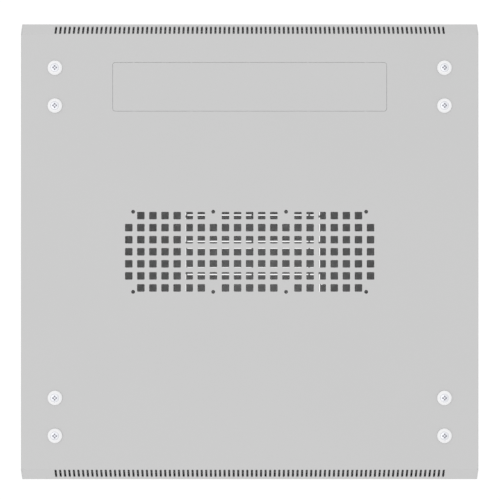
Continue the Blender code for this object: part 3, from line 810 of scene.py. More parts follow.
@dataclass(frozen=True)
class PowderCoat(Finish):
    """Baked powder paint: orange peel, faint clouding, a painted highlight on broken edges and
    painted light on the inner faces.

    The lowest part, up to scuff_height, has faint level scuffs that fade upwards.
    """

    tone: Triple = (0.570, 0.570, 0.570)
    cloud: float = 0.985
    # Painted highlight: how much lighter the broken edges are coloured.
    edge_highlight: float = 1.06
    # Painted light: how much lighter the inner faces are coloured.
    inside: float = 1.20
    scuff_height: float = 0.22
    scuff_tone: float = 0.90
    roughness: tuple[float, float] = (0.40, 0.50)
    peel_width: float = 0.0016
    peel_depth: float = 0.00004
    grain_width: float = 0.0005

    def mixed_up(self, recipe: Recipe) -> bpy.types.Material:
        """Cloudy tone, scuffed low down, painted light on the inner faces and a painted highlight
        on edges, under two sizes of peel.
        """
        tone = np.array(self.tone)
        clouds = recipe.clouds(5.0, 4.0)
        colour = recipe.mixed(clouds, tone * self.cloud, tone)
        height = recipe.apart(recipe.object_place)[2]
        low = recipe.span(height, 1.0, 0.0, 0.05, self.scuff_height)
        streaks = recipe.noise(1.0, 5.0, recipe.stretched(recipe.object_place, (11.0, 11.0, 70.0)))
        marks = recipe.math("MULTIPLY", recipe.span(streaks, 0.0, 1.0, 0.52, 0.68), low)
        colour = recipe.mixed(marks, colour, tone * self.scuff_tone)
        # Painted light: the inner faces are coloured lighter, standing in for light inside the
        # cabinet.
        inner = recipe.span(recipe.apart(recipe.own())[2], 1.0, 0.0, -0.0010, -0.0005)
        colour = recipe.mixed(inner, colour, tone * self.inside)
        # Painted highlight: the broken edges are coloured lighter, standing in for light caught on
        # their rounding.
        colour = recipe.mixed(recipe.edge(), colour, tone * self.edge_highlight)
        peel = recipe.bump(recipe.noise(1.0 / self.peel_width, 2.0), self.peel_depth)
        grains = recipe.clouds(1.0 / self.grain_width, 2.0)
        return recipe.finish(
            Base_Color=colour, Roughness=recipe.clouds(11.0, 5.0, *self.roughness, 0.6),
            Normal=recipe.bump(grains, self.peel_depth / 5, peel), Specular_IOR_Level=0.45,
        )


@dataclass(frozen=True)
class ZincPlate(Finish):
    """Bright zinc on rolled sheet: patches of spangle over faint rolling lines."""

    light: Triple = (0.62, 0.63, 0.66)
    dark: Triple = (0.46, 0.47, 0.50)
    spangle: float = 0.011
    roughness: tuple[float, float] = (0.30, 0.46)

    def mixed_up(self, recipe: Recipe) -> bpy.types.Material:
        """Cells in two greys, lines along the roll, and a dulled film in clouds."""
        cells = recipe.cells(self.spangle)
        patch = recipe.add("ShaderNodeSeparateColor", {0: cells.outputs["Color"]}).outputs[0]
        lines = recipe.noise(1.0, 3.0, recipe.stretched(recipe.own(), (2200.0, 9.0, 2200.0)))
        share = recipe.math("MULTIPLY_ADD", patch, 0.55)
        recipe.put(share.node, 2, recipe.math("MULTIPLY", lines, 0.45))
        colour = recipe.mixed(share, self.dark, self.light)
        return recipe.finish(
            Base_Color=colour, Metallic=1.0, Roughness=recipe.clouds(9.0, 5.0, *self.roughness),
            Normal=recipe.bump(lines, 0.00001, recipe.bump(patch, 0.000006)),
        )


@dataclass(frozen=True)
class TurnedMetal(Finish):
    """Turned and plated metal: fine rings about each piece's own axis, and handling marks."""

    tone: Triple = (0.84, 0.85, 0.88)
    shade: Triple = (0.60, 0.61, 0.65)
    roughness: tuple[float, float] = (0.16, 0.30)
    ring_pitch: float = 0.00022
    ring_depth: float = 0.000004
    # Painted shade in a recess: how far from the axis it reaches, and its darker colour.
    recess_shade_reach: tuple[float, float] = (0.0, 0.0)
    recess_shade: Triple = (0.20, 0.20, 0.23)

    def mixed_up(self, recipe: Recipe) -> bpy.types.Material:
        """Rings from the distance to the axis, patchy plating, and painted shade darkening a
        recess.
        """
        apart = recipe.apart(recipe.own())
        flat = recipe.add("ShaderNodeCombineXYZ", {0: apart[0], 1: apart[1]}).outputs[0]
        radius = recipe.add("ShaderNodeVectorMath", {0: flat}, operation="LENGTH").outputs[1]
        turns = recipe.math("MULTIPLY", radius, 2 * math.pi / self.ring_pitch)
        rings = recipe.span(recipe.math("SINE", turns), 0.0, 1.0, -1.0, 1.0)
        colour = recipe.mixed(recipe.clouds(600.0, 4.0, 0.0, 0.35), self.tone, self.shade)
        # Painted shade: the arms of the recess are coloured darker, standing in for the shade
        # inside them.
        if self.recess_shade_reach[1] > 0:
            near, far = self.recess_shade_reach
            sizes = [recipe.math("ABSOLUTE", apart[axis]) for axis in (0, 1)]
            arm = recipe.span(recipe.math("MINIMUM", *sizes), 1.0, 0.0, 0.0006, 0.0013)
            past = recipe.span(radius, 0.0, 1.0, near * 0.7, near * 1.25)
            inside = recipe.span(radius, 1.0, 0.0, far * 0.85, far * 1.1)
            share = recipe.math("MULTIPLY", recipe.math("MULTIPLY", arm, past), inside)
            colour = recipe.mixed(share, colour, self.recess_shade)
        return recipe.finish(
            Base_Color=colour, Metallic=1.0, Roughness=recipe.clouds(350.0, 4.0, *self.roughness),
            Normal=recipe.bump(rings, self.ring_depth),
        )


@dataclass(frozen=True)
class Moulded(Finish):
    """Moulded plastic or rubber: a fine even grain, slightly uneven sheen."""

    tone: Triple = (0.89, 0.89, 0.90)
    roughness: tuple[float, float] = (0.34, 0.44)
    grain_width: float = 0.0004
    grain_depth: float = 0.00001
    variation: float = 0.97

    def mixed_up(self, recipe: Recipe) -> bpy.types.Material:
        """A clouded tone and a grain of small cells."""
        tone = np.array(self.tone)
        grain = recipe.cells(self.grain_width).outputs["Distance"]
        return recipe.finish(
            Base_Color=recipe.mixed(recipe.clouds(120.0, 4.0), tone * self.variation, tone),
            Roughness=recipe.clouds(60.0, 3.0, *self.roughness),
            Normal=recipe.bump(grain, self.grain_depth),
        )


@dataclass(frozen=True)
class DoorGlass(Finish):
    """Tempered glass with a dark printed border and a very slight roller wave."""

    clear: Triple = (0.014, 0.019, 0.019)
    border: Triple = (0.012, 0.012, 0.013)
    tint: float = 0.29
    clear_half: Point = (0.219, 0.8375)

    def mixed_up(self, recipe: Recipe) -> bpy.types.Material:
        """Clear inside a rectangle on the pane, printed outside it."""
        apart = recipe.apart(recipe.own())
        past = []
        for axis, half in enumerate(self.clear_half):
            size = recipe.math("ABSOLUTE", apart[axis])
            past.append(recipe.span(size, 0.0, 1.0, half - 0.0003, half + 0.0003))
        printed = recipe.math("MAXIMUM", *past)
        smear = recipe.noise(14.0, 6.0, rough=0.65)
        wave = recipe.noise(1.0, 1.0, recipe.stretched(recipe.object_place, (3.0, 3.0, 22.0)))
        return recipe.finish(
            Base_Color=recipe.mixed(printed, self.clear, self.border),
            Alpha=recipe.span(printed, self.tint, 1.0, 0.0, 1.0),
            Roughness=recipe.span(smear, 0.02, 0.07),
            IOR=1.52,
            Specular_IOR_Level=0.8,
            Coat_Weight=0.5,
            Coat_Roughness=0.03,
            Normal=recipe.bump(wave, 0.00015),
        )


GREY_PAINT = PowderCoat("grey_powder_coat", Slot.GREY_PAINT)
ZINC = ZincPlate("zinc_plated_sheet", Slot.ZINC_PLATE)
ZINC_TURNED = TurnedMetal(
    "zinc_plated_fastener", Slot.ZINC_PLATE, (0.62, 0.63, 0.66), (0.45, 0.46, 0.50), (0.28, 0.42)
)
BRIGHT_STEEL = TurnedMetal(
    "bright_screw_steel", Slot.BRIGHT_STEEL, (0.84, 0.85, 0.89), (0.76, 0.77, 0.82), (0.26, 0.38),
    # Painted shade: the cross recess of the screw heads is coloured darker.
    recess_shade_reach=(0.0011, 0.0030), recess_shade=(0.36, 0.36, 0.40),
)
LOCK_CHROME = TurnedMetal(
    "lock_chrome_plate", Slot.LOCK_CHROME, (0.72, 0.73, 0.75), (0.55, 0.56, 0.58), (0.08, 0.18),
    0.0005, 0.000002,
)
BRASS = TurnedMetal(
    "plain_brass", Slot.BRASS, (0.78, 0.58, 0.26), (0.50, 0.36, 0.16), (0.24, 0.40)
)
WHITE_NYLON = Moulded("white_nylon_moulding", Slot.WHITE_NYLON)
BLACK_PLASTIC = Moulded(
    "black_foot_plastic", Slot.FOOT_PLASTIC, (0.028, 0.028, 0.029), (0.45, 0.6), 0.0007,
    0.00003, 0.8,
)
BLACK_RUBBER = Moulded(
    "black_seal_rubber", Slot.FOOT_PLASTIC, (0.020, 0.020, 0.021), (0.6, 0.75), 0.0005,
    0.00002, 0.85,
)
SEALING_FOAM = Moulded(
    "grey_sealing_foam", Slot.FOOT_PLASTIC, (0.36, 0.36, 0.37), (0.8, 0.95), 0.0008, 0.0002, 0.8,
)
GLASS = DoorGlass("tinted_door_glass", Slot.DOOR_GLASS)


# ---------- pieces


def make_mesh(name: str, shell: Shell) -> bpy.types.Mesh:
    """Puts a skin's arrays into a mesh, with its exact normals and its own attributes.

    Args:
        name: The mesh's name.
        shell: The skin.

    Returns:
        The mesh.
    """
    mesh = bpy.data.meshes.new(name)
    mesh.vertices.add(len(shell.places))
    mesh.vertices.foreach_set("co", shell.places.astype(np.float32).ravel())
    corners = np.concatenate([shell.triangles.ravel(), shell.quads.ravel()])
    sizes = np.concatenate([np.full(len(shell.triangles), 3), np.full(len(shell.quads), 4)])
    mesh.loops.add(len(corners))
    mesh.loops.foreach_set("vertex_index", corners.astype(np.int32))
    mesh.polygons.add(len(sizes))
    mesh.polygons.foreach_set("loop_start", (np.cumsum(sizes) - sizes).astype(np.int32))
    mesh.update(calc_edges=True)
    mesh.shade_smooth()
    for key, kind, field_name, values in (
        ("own", "FLOAT_VECTOR", "vector", shell.own), ("edge", "FLOAT", "value", shell.edge),
    ):
        attribute = mesh.attributes.new(key, kind, "POINT")
        attribute.data.foreach_set(field_name, values.astype(np.float32).ravel())
    mesh.normals_split_custom_set_from_vertices(shell.normals.astype(np.float32))
    return mesh


def new_object(name: str, data: bpy.types.ID) -> bpy.types.Object:
    """Puts new data into the scene as an object."""
    made = bpy.data.objects.new(name, data)
    bpy.context.scene.collection.objects.link(made)
    return made


def add_piece(
    name: str, shell: Shell, finish: Finish, solid: str = "", body: str = "cabinet"
) -> None:
    """Makes a finished piece that rides on a body.

    Args:
        name: The piece's name.
        shell: Its skin, in place.
        finish: Its finish.
        solid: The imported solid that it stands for, if there is one.
        body: The body it moves with.
    """
    mesh = make_mesh(name, shell)
    mesh.materials.append(finish.material())
    piece = new_object(name, mesh)
    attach(piece, body)
    if solid:
        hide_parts(solid)
    log.info("%s: %d faces, on %s", name, len(mesh.polygons), body)


def pan_head(radius: float, height: float, stem: float) -> Shell:
    """A low domed fastener head with a short stem into the hole below it."""
    angle = np.linspace(0, np.pi / 2, 7)
    dome = np.stack([radius * np.sin(angle), height * (0.15 + 0.85 * np.cos(angle))], 1)
    foot = [(radius, 0.0), (radius * 0.5, 0.0), (radius * 0.5, -stem), (0.0, -stem)]
    return turned(np.concatenate([dome, foot]), 20)


def nut(across_flats: float, bore: float, height: float) -> Shell:
    """A hexagon nut in its own frame, its outer face at z = 0."""
    return plate(hexagon((0, 0), across_flats), [ring((0, 0), bore, 24)], height, 0.0005)


def threaded(radius: float, groove: float, turns: Array, low: float, tip: Point) -> Shell:
    """A threaded stud about its own axis. Crests and roots take turns up its profile.

    Args:
        radius: The radius at the crests.
        groove: How much less it is at the roots.
        turns: The heights of the crests and roots, upwards.
        low: The height of the lower end.
        tip: The radius and height of the upper end.

    Returns:
        The stud.
    """
    crest = radius - groove * (np.arange(len(turns)) % 2)
    thread = np.stack([crest, turns], 1)[::-1]
    profile = [[(0.0, tip[1]), tip], thread, [(radius, low), (0.0, low)]]
    return turned(np.concatenate(profile), 24)


@dataclass
class Strip:
    """A straight strip of sheet, folded along its length: its section and how far it reaches."""

    corners: tuple[Point, ...]
    low: float = 0.0
    high: float = 1.0
    thickness: float = 0.002
    bend: float = 0.003
    corner: float = 0.001
    edge: float = 0.0003
    path: FoldPath = field(init=False)

    def __post_init__(self) -> None:
        """Draws the fold path."""
        self.path = FoldPath(self.corners, self.bend)

    def blank(self) -> Array:
        """The plain outline: the path's length by the reach from low to high."""
        across, middle = self.path.length / 2, (self.low + self.high) / 2
        return rounded_box((across, middle), (across, (self.high - self.low) / 2), self.corner)

    def shell(self, holes: list[Array], axes: tuple, outline: Array | None = None) -> Shell:
        """The folded strip with its holes, in place, with the plain outline or another."""
        outline = self.blank() if outline is None else outline
        sheet = Sheet(ChannelFold(self.path), outline, holes, self.thickness, self.edge, 1)
        return sheet.shell().at(Placement(axes=axes))


@dataclass
class TrayPanel:
    """A folded tray: a face of half sizes, with returns of one depth round it."""

    half: Point
    depth: float
    thickness: float = 0.0015
    end_corners: tuple[Point, ...] = ((0.0, 0.0),)
    end_radius: float | None = None
    fold: TrayFold = field(init=False)

    def __post_init__(self) -> None:
        """Draws the two fold paths. An end corner is (inset from the edge, drop)."""
        across, along = self.half
        tight = self.thickness + 0.0003
        rise = [(along - inset, -drop) for inset, drop in self.end_corners]
        end = [*rise, (along, -self.depth)]
        start = [(-v, z) for v, z in reversed(end)]
        corners = [(-across, -self.depth), (-across, 0), (across, 0), (across, -self.depth)]
        self.fold = TrayFold(
            FoldPath(corners, tight, centred=True),
            FoldPath(start + end, self.end_radius or tight, centred=True),
            self.thickness,
        )

    def shell(self, holes: list[Array], spot: Placement) -> Shell:
        """The tray with its holes, in place."""
        sheet = Sheet(self.fold, self.fold.outline(), holes, self.thickness)
        return sheet.shell().at(spot)


@dataclass
class Roof:
    """The roof: a tray whose long edges are folded at 45 degrees, with all its openings."""

    top: float = 2.000
    bend: float = 0.015
    bend_radius: float = 0.0020
    grille_count: tuple[int, int] = (21, 7)
    grille_pitch: Point = (0.01584, 0.01579)
    grille_hole: float = 0.0098
    grille_solid: tuple[int, ...] = (0, 7, 13, 20)
    fan_centre: float = 0.1002
    fan_spacing: float = 0.105
    fan_hole: float = 0.0025
    slot_count: int = 86
    slot_pitch: float = 0.00599
    slot_size: Point = (0.0028, 0.0156)
    slot_corner: float = 0.0007
    slot_in: float = 0.0087
    entry_half: float = 0.1795
    entry_y: Point = (0.1842, 0.2481)
    entry_corner: float = 0.0035
    entry_tabs: tuple[float, ...] = (-0.152, -0.0763, 0.0, 0.0763, 0.152)
    entry_tab: float = 0.0016
    entry_slit: float = 0.0003
    screw_x: float = 0.2551
    screw_y: Point = (0.1914, 0.2410)
    washer_lift: float = 0.0003
    foam_half: float = 0.280
    foam_in: float = 0.0016
    foam_thickness: float = 0.0022
    foam_margins: Point = (0.0030, 0.0025)

    def grille(self) -> list[Array]:
        """The fan grille's square holes. The first and last row miss four of them."""
        columns, rows = self.grille_count
        half = self.grille_hole / 2
        square = rounded_box((0, 0), (half, half), 0.0011, 3)
        column, row = np.meshgrid(np.arange(columns), np.arange(rows))
        solid = np.isin(row, (0, rows - 1)) & np.isin(column, self.grille_solid)
        x = (column - (columns - 1) / 2) * self.grille_pitch[0]
        y = (row - (rows - 1) / 2) * self.grille_pitch[1]
        centres = np.stack([x[~solid], y[~solid]], 1)
        return list(square[None] + centres[:, None])

    def fan_holes(self) -> list[Array]:
        """Four screw holes round each of the two fan places."""
        half = self.fan_spacing / 2
        return [
            ring((side * self.fan_centre + a * half, b * half), self.fan_hole, 16)
            for side in (-1, 1) for a in (-1, 1) for b in (-1, 1)
        ]

    def vents(self, fold: TrayFold) -> list[Array]:
        """The row of slots in each folded edge."""
        width, length = self.slot_size
        place = (HALF_WIDTH - self.slot_in, self.slot_in - self.bend)
        slot = rounded_box(
            (0.0, fold.along.nearest(place)), (width / 2, length / 2), self.slot_corner, 2
        )
        x = (np.arange(self.slot_count) - (self.slot_count - 1) / 2) * self.slot_pitch
        moves = np.stack([x, 0 * x], 1)[:, None]
        rear = slot[None] + moves
        return [*rear, *(rear * (1, -1))[:, ::-1]]

    def entry_cuts(self) -> list[Array]:
        """The cut line round the cable entry, which small tabs interrupt."""
        low, high = self.entry_y
        half = self.entry_slit / 2
        start = self.entry_tabs[-1] + self.entry_tab / 2
        corners = [(start, low), (self.entry_half, low), (self.entry_half, high), (start, high)]
        end = slot_round(rounded(corners, self.entry_corner, 6, closed=False), half)
        cuts = [end, (end * (-1, 1))[::-1]]
        for a, b in stretches(self.entry_half, self.entry_tabs, self.entry_tab)[1:-1]:
            cuts += [slot_round([(a, y), (b, y)], half) for y in self.entry_y]
        return cuts

    def screw_places(self) -> list[Point]:
        """The eight screw places, in the order of the solids' numbers."""
        return [
            (sx * self.screw_x, sy * y) for sy in (-1, 1) for y in self.screw_y for sx in (-1, 1)
        ]

    def build(self) -> None:
        """Makes the roof tray, then a screw and a cup washer at each place."""
        tray = TrayPanel(
            (HALF_WIDTH, HALF_WIDTH), TRAY_DEPTH,
            end_corners=((self.bend, 0.0), (0.0, self.bend)), end_radius=self.bend_radius,
        )
        screws = [ring(place, SCREW_HOLE) for place in self.screw_places()]
        holes = [
            *self.grille(), *self.fan_holes(), *self.vents(tray.fold), *self.entry_cuts(), *screws,
        ]
        shell = tray.shell(holes, Placement((0, 0, self.top)))
        add_piece("roof_tray", shell, GREY_PAINT, "roof_panel")
        self.foam_strips()
        for number, (x, y) in enumerate(self.screw_places(), start=1):
            spot = Placement((x, y, self.top + self.washer_lift))
            washer, screw = self.washer().at(spot), self.screw().at(spot)
            add_piece(f"cup_washer_{number}", washer, WHITE_NYLON, f"roof_washer_{number}")
            add_piece(f"cross_screw_{number}", screw, BRIGHT_STEEL, f"roof_screw_{number}")

    def foam_strips(self) -> None:
        """A foam strip on the inside of the front and of the rear return, behind the vents."""
        below, above = self.foam_margins
        low, high = self.top - TRAY_DEPTH + below, self.top - self.bend - above
        outline = rounded_box((0, (low + high) / 2), (self.foam_half, (high - low) / 2), 0.002)
        strip = plate(outline, [], self.foam_thickness, 0.0008)
        strips = [
            strip.at(Placement((0, sy * (HALF_WIDTH - self.foam_in), 0), upright(1, sy)))
            for sy in (-1, 1)
        ]
        add_piece("roof_foam_strips", joined(strips), SEALING_FOAM)

    def washer(self) -> Shell:
        """The nylon cup washer: a crowned ring with a seat for the screw's head."""
        section = [
            (0.0036, 0.0010), (0.0057, 0.0028), (0.0070, 0.0028), (0.0093, 0.0014),
            (0.0097, 0.0), (0.0036, 0.0),
        ]
        return turned_ring(section, 0.00025, 48)

    def screw(self) -> Shell:
        """A raised screw head with a cross recess, and its shank.

        The head's face is a dome, height = 0.0042 - 0.0011 * (r / 0.0055) squared. The recess
        is cut by a cross whose arms get shallower outwards.
        """
        r = np.linspace(0.0, 0.0050, 26)
        dome = np.stack([r, 0.0042 - 0.0011 * (r / 0.0055) ** 2], 1)
        rest = [
            (0.00535, 0.0030), (0.0055, 0.0028), (0.0054, 0.0026), (0.0031, 0.0009),
            (0.0030, 0.0005), (0.0030, -0.0125), (0.0022, -0.0140), (0.0, -0.0140),
        ]
        return turned(np.concatenate([dome, rest]), 64, sink=cross_recess)


def cross_recess(x: Array, y: Array) -> Array:
    """The depth of a cross recess: full in the arms, fading over its walls and outwards.

    With n the nearer axis distance and r the distance to the centre, the depth is
    0.0012 * fade(n, 0.0006, 0.0010) * fade(r, 0.0024, 0.0036).
    """
    def fade(value: Array, full: float, none: float) -> Array:
        """1 below full, 0 above none, smooth between."""
        share = np.clip((none - value) / (none - full), 0, 1)
        return share * share * (3 - 2 * share)

    near = np.minimum(np.abs(x), np.abs(y))
    return 0.0012 * fade(near, 0.0006, 0.0010) * fade(np.hypot(x, y), 0.0024, 0.0036)


@dataclass
class Base:
    """The base tray with its knock-outs, its screws, the earth stud and the feet's nuts."""

    bottom: float = 0.030
    entry_centre: Point = (0.0068, -0.015)
    entry_half: float = 0.1627
    entry_lines: tuple[float, ...] = (0.0237, 0.0402, 0.1043)
    entry_tabs: tuple[float, ...] = (-0.138, 0.0, 0.138)
    entry_tab: float = 0.0036
    side_end: float = 0.112
    side_tabs: tuple[float, ...] = (-0.1007, -0.0367, 0.0367, 0.1007)
    side_tab: float = 0.0045
    slit: float = 0.0030
    pilot: Point = (0.1686, 0.0637)
    pilot_hole: float = 0.0018
    foot_place: Point = (0.225, 0.255)
    foot_hole: float = 0.0055
    foot_nut_top: float = 0.0399
    earth_place: Point = (-0.190, 0.225)
    earth_low: float = 0.0318

    def cuts(self) -> list[Array]:
        """The slits round the three knock-outs and the two long ones beside them."""
        cx, cy = self.entry_centre
        half = self.slit / 2
        made = []
        for side in (-1, 1):
            for line in self.entry_lines:
                y = cy + side * line
                for a, b in stretches(self.entry_half - 0.004, self.entry_tabs, self.entry_tab):
                    path = np.array([(cx + a + half, y), (cx + b - half, y)])
                    made.append(slot_round(path, half, 6))
            x = cx + side * self.entry_half
            for a, b in stretches(self.side_end, self.side_tabs, self.side_tab):
                made.append(slot_round([(x, cy + a + half), (x, cy + b - half)], half, 6))
        return made

    def build(self, screw_places: list[Point]) -> None:
        """Makes the tray and what is fixed to it."""
        cx, cy = self.entry_centre
        corners = np.array([(sx, sy) for sx in (-1, 1) for sy in (-1, 1)])
        feet = corners * self.foot_place
        pilots = corners * self.pilot + (cx, cy)
        holes = self.cuts()
        holes += [ring(place, self.foot_hole) for place in feet]
        holes += [ring(place, self.pilot_hole, 12) for place in pilots]
        holes += [ring(place, SCREW_HOLE) for place in screw_places]
        tray = TrayPanel((HALF_WIDTH, HALF_WIDTH), TRAY_DEPTH)
        shell = tray.shell(holes, Placement((0, 0, self.bottom), FACE_DOWN))
        add_piece("base_tray", shell, GREY_PAINT, "base_panel")
        head, foot_nut = pan_head(0.0055, 0.0026, 0.004), nut(0.017, 0.0051, 0.008)
        heads = [
            head.at(Placement((x, y, self.bottom - 0.0001), FACE_DOWN)) for x, y in screw_places
        ]
        add_piece("base_screws", joined(heads), ZINC_TURNED)
        nuts = [foot_nut.at(Placement((x, y, self.foot_nut_top))) for x, y in feet]
        add_piece("foot_nuts", joined(nuts), ZINC_TURNED)
        self.earth_stud()

    def earth_stud(self) -> None:
        """The brass earthing stud: a threaded stud, a nut and two washers."""
        turns = np.arange(0.0425, 0.0512, 0.00035)
        stud = threaded(0.0040, 0.00028, turns, self.earth_low, (0.0034, 0.0520))
        section = [(0.0041, 0.0012), (0.0085, 0.0012), (0.0085, 0.0), (0.0041, 0.0)]
        washer = turned_ring(section, 0.0002, 32)
        fixed = [(washer, self.earth_low), (washer, 0.0412), (nut(0.013, 0.0041, 0.0064), 0.0396)]
        pieces = [stud, *(shell.at(Placement((0, 0, height))) for shell, height in fixed)]
        spot = Placement((*self.earth_place, 0.0))
        add_piece("earth_stud_brass", joined(pieces).at(spot), BRASS, "earth_stud")


def stretches(half: float, tabs: tuple[float, ...], tab: float) -> list[Point]:
    """The stretches from -half to half that tabs of one width leave open."""
    edges = sorted([-half, half] + [place + s * tab / 2 for place in tabs for s in (-1, 1)])
    return list(zip(edges[::2], edges[1::2]))


@dataclass
class Frame:
    """What stands between the trays: posts, rack rails, side braces and their fasteners.

    Paths and places are (|x|, |y|) for a post or rail, and (|x|, z) for a brace. A row of
    holes runs through the place named for it.
    """

    bottom: float = 0.0318
    top: float = 1.9982
    post_path: tuple[Point, ...] = ((0.283, 0.178), (0.247, 0.178), (0.247, 0.270), (0.298, 0.270))
    web_place: Point = (0.247, 0.224)
    web_row: float = 0.025
    lip_place: Point = (0.268, 0.178)
    flange_place: Point = (0.26625, 0.270)
    fixing_hole: float = 0.0032
    pilot_hole: float = 0.0024
    hole_pitch: float = 0.05
    strike_height: float = 1.022
    strike_half: Point = (0.01625, 0.023)
    end_plate: tuple[Point, Point] = ((0.27325, 0.224), (0.02415, 0.0435))
    end_thickness: float = 0.003
    rail_path: tuple[Point, ...] = ((0.225, 0.222), (0.244, 0.222), (0.244, 0.180))
    rack_place: Point = (0.23255, 0.222)
    side_place: Point = (0.244, 0.2)
    rail_reach: Point = (0.060, 1.940)
    rail_slot_reach: float = 0.006
    unit: float = 0.04445
    units: int = 42
    unit_holes: tuple[float, ...] = (0.00635, 0.022225, 0.0381)
    rack_hole: float = 0.0095
    upper_path: tuple[Point, ...] = (
        (0.2444, 1.890), (0.2444, 1.940), (0.271, 1.940), (0.271, 1.914),
    )
    middle_path: tuple[Point, ...] = (
        (0.271, 0.990), (0.2444, 0.990), (0.2444, 1.040), (0.271, 1.040),
    )
    web_end: float = 0.25
    lip_end: float = 0.1765
    lip_gap: float = 0.0006
    brace_hole: float = 0.0026
    brace_hole_in: float = 0.012
    brace_slot: Point = (0.004, 0.012)
    brace_slots: tuple[float, ...] = (-0.12, -0.06, 0.0, 0.06, 0.12)
    fixing_rows: Point = (0.200, 0.237)
    head_x: Point = (0.2419, 0.2443)
    head_heights: tuple[float, ...] = (1.903, 1.927, 1.003, 1.027)

    def post(self, side: Side, end: End, screws: list[Point], strike: bool) -> None:
        """One corner post: a channel with fixing holes and a plate at each end."""
        strip = Strip(self.post_path, self.bottom, self.top)
        web, lip, flange = map(
            strip.path.nearest, (self.web_place, self.lip_place, self.flange_place)
        )
        heights = np.arange(0.090, 1.960, self.hole_pitch)
        holes = [
            ring((web + offset, z), self.fixing_hole, 12)
            for offset in (-self.web_row, self.web_row) for z in heights
        ]
        holes += [ring((lip, z + self.hole_pitch / 2), self.pilot_hole, 12) for z in heights[::2]]
        if strike:
            window = (flange + 0.0005, self.strike_height)
            holes.append(rounded_box(window, self.strike_half, 0.002))
        holes += [
            ring((flange + 0.004, z), self.pilot_hole, 12) for z in heights[::2]
            if not strike or abs(z - self.strike_height) > self.hole_pitch
        ]
        sx, sy = side.value, end.value
        name = f"post_{word(end)}_{word(side)}"
        screw_holes = [ring((abs(x), abs(y)), SCREW_HOLE) for x, y in screws[4::2]]
        end_plate = plate(rounded_box(*self.end_plate, 0.002), screw_holes, self.end_thickness)
        pieces = [strip.shell(holes, upright(sx, sy))]
        for height in (self.top, self.bottom + self.end_thickness):
            flat = ((sx, 0, 0), (0, sy, 0), (0, 0, 1))
            pieces.append(end_plate.at(Placement((0, 0, height), flat)))
        add_piece(f"{name}_channel", joined(pieces), ZINC, name)

    def rail(self, side: Side, end: End) -> None:
        """One rack rail: an angle with three square holes to each rack unit."""
        strip = Strip(self.rail_path, *self.rail_reach, edge=0.00025)
        column, across = map(strip.path.nearest, (self.rack_place, self.side_place))
        first = sum(self.rail_reach) / 2 - self.units * self.unit / 2
        starts = first + np.arange(self.units) * self.unit
        square = rounded_box((0, 0), (self.rack_hole / 2,) * 2, 0.0008, 1)
        heights = (starts[:, None] + np.array(self.unit_holes)).ravel()
        centres = np.stack([np.full(len(heights), column), heights], 1)
        holes = list(square[None] + centres[:, None])
        holes += [
            slot_round(
                [(across - self.rail_slot_reach, z), (across + self.rail_slot_reach, z)],
                self.fixing_hole,
            )
            for z in np.arange(0.12, 1.90, 2 * self.unit) if abs(z - DOOR_MIDDLE) > 0.03
        ]
        name = f"rack_rail_{word(end)}_{word(side)}"
        add_piece(
            f"{name}_angle", strip.shell(holes, upright(side.value, end.value)), ZINC, name
        )

    def brace(self, side: Side, level: str, corners: tuple[Point, ...], web: int) -> None:
        """One side brace: a folded strip whose web runs past its lips to the posts.

        Args:
            side: Which side it is on.
            level: The level's name.
            corners: Its path.
            web: The number of the run that is its web.
        """
        strip = Strip(corners)
        starts, length = strip.path.starts, strip.path.length
        low = starts[2 * web] + (self.lip_gap if web else 0.0)
        high = starts[2 * web + 1] - self.lip_gap
        steps = [(low, self.web_end), (high, self.web_end), (high, self.lip_end)]
        if web:
            steps = [(0.0, self.lip_end), (low, self.lip_end), *steps]
        steps.append((length, self.lip_end))
        outline = rounded([(u, -v) for u, v in steps] + steps[::-1], 0.0004, 2)
        centre = (low + high) / 2
        holes = [
            ring((centre + su * self.brace_hole_in, sy * y), self.brace_hole, 12)
            for sy in (-1, 1) for y in self.fixing_rows for su in (-1, 1)
        ]
        half, reach = self.brace_slot
        holes += [slot_round([(centre, v - reach), (centre, v + reach)], half)
                  for v in self.brace_slots]
        axes = ((side.value, 0, 0), (0, 1, 0), (0, 0, 1))
        name = f"brace_{level}_{word(side)}"
        add_piece(f"{name}_strip", strip.shell(holes, axes, outline), ZINC, name)

    def fasteners(self) -> None:
        """The heads that hold rails to braces and braces to posts, facing inwards."""
        head = pan_head(0.0048, 0.0024, 0.003)
        heads = [
            head.at(Placement((sx * x, sy * y, z), ((0, 1, 0), (0, 0, 1), (-sx, 0, 0))))
            for sx in (-1, 1) for y, x in zip(self.fixing_rows, self.head_x)
            for sy in (-1, 1) for z in self.head_heights
        ]
        add_piece("frame_fasteners", joined(heads), ZINC_TURNED)

    def build(self, screws: list[Point]) -> None:
        """Makes every piece of the frame, and finishes the hinge brackets."""
        for end in End:
            for side in Side:
                self.post(side, end, screws, strike=side.value == end.value)
                self.rail(side, end)
        for side in Side:
            self.brace(side, "upper", self.upper_path, 0)
            self.brace(side, "middle", self.middle_path, 1)
        self.fasteners()
        for end in End:
            for level in ("upper", "lower"):
                finish_solid(f"hinge_bracket_{word(end)}_{level}", ZINC_TURNED)


def finish_solid(node: str, finish: Finish) -> None:
    """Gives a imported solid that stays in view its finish."""
    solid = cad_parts[node]
    solid.data.materials.clear()
    solid.data.materials.append(finish.material())
    log.info("%s: packed solid, finished as %s", node, finish.name)


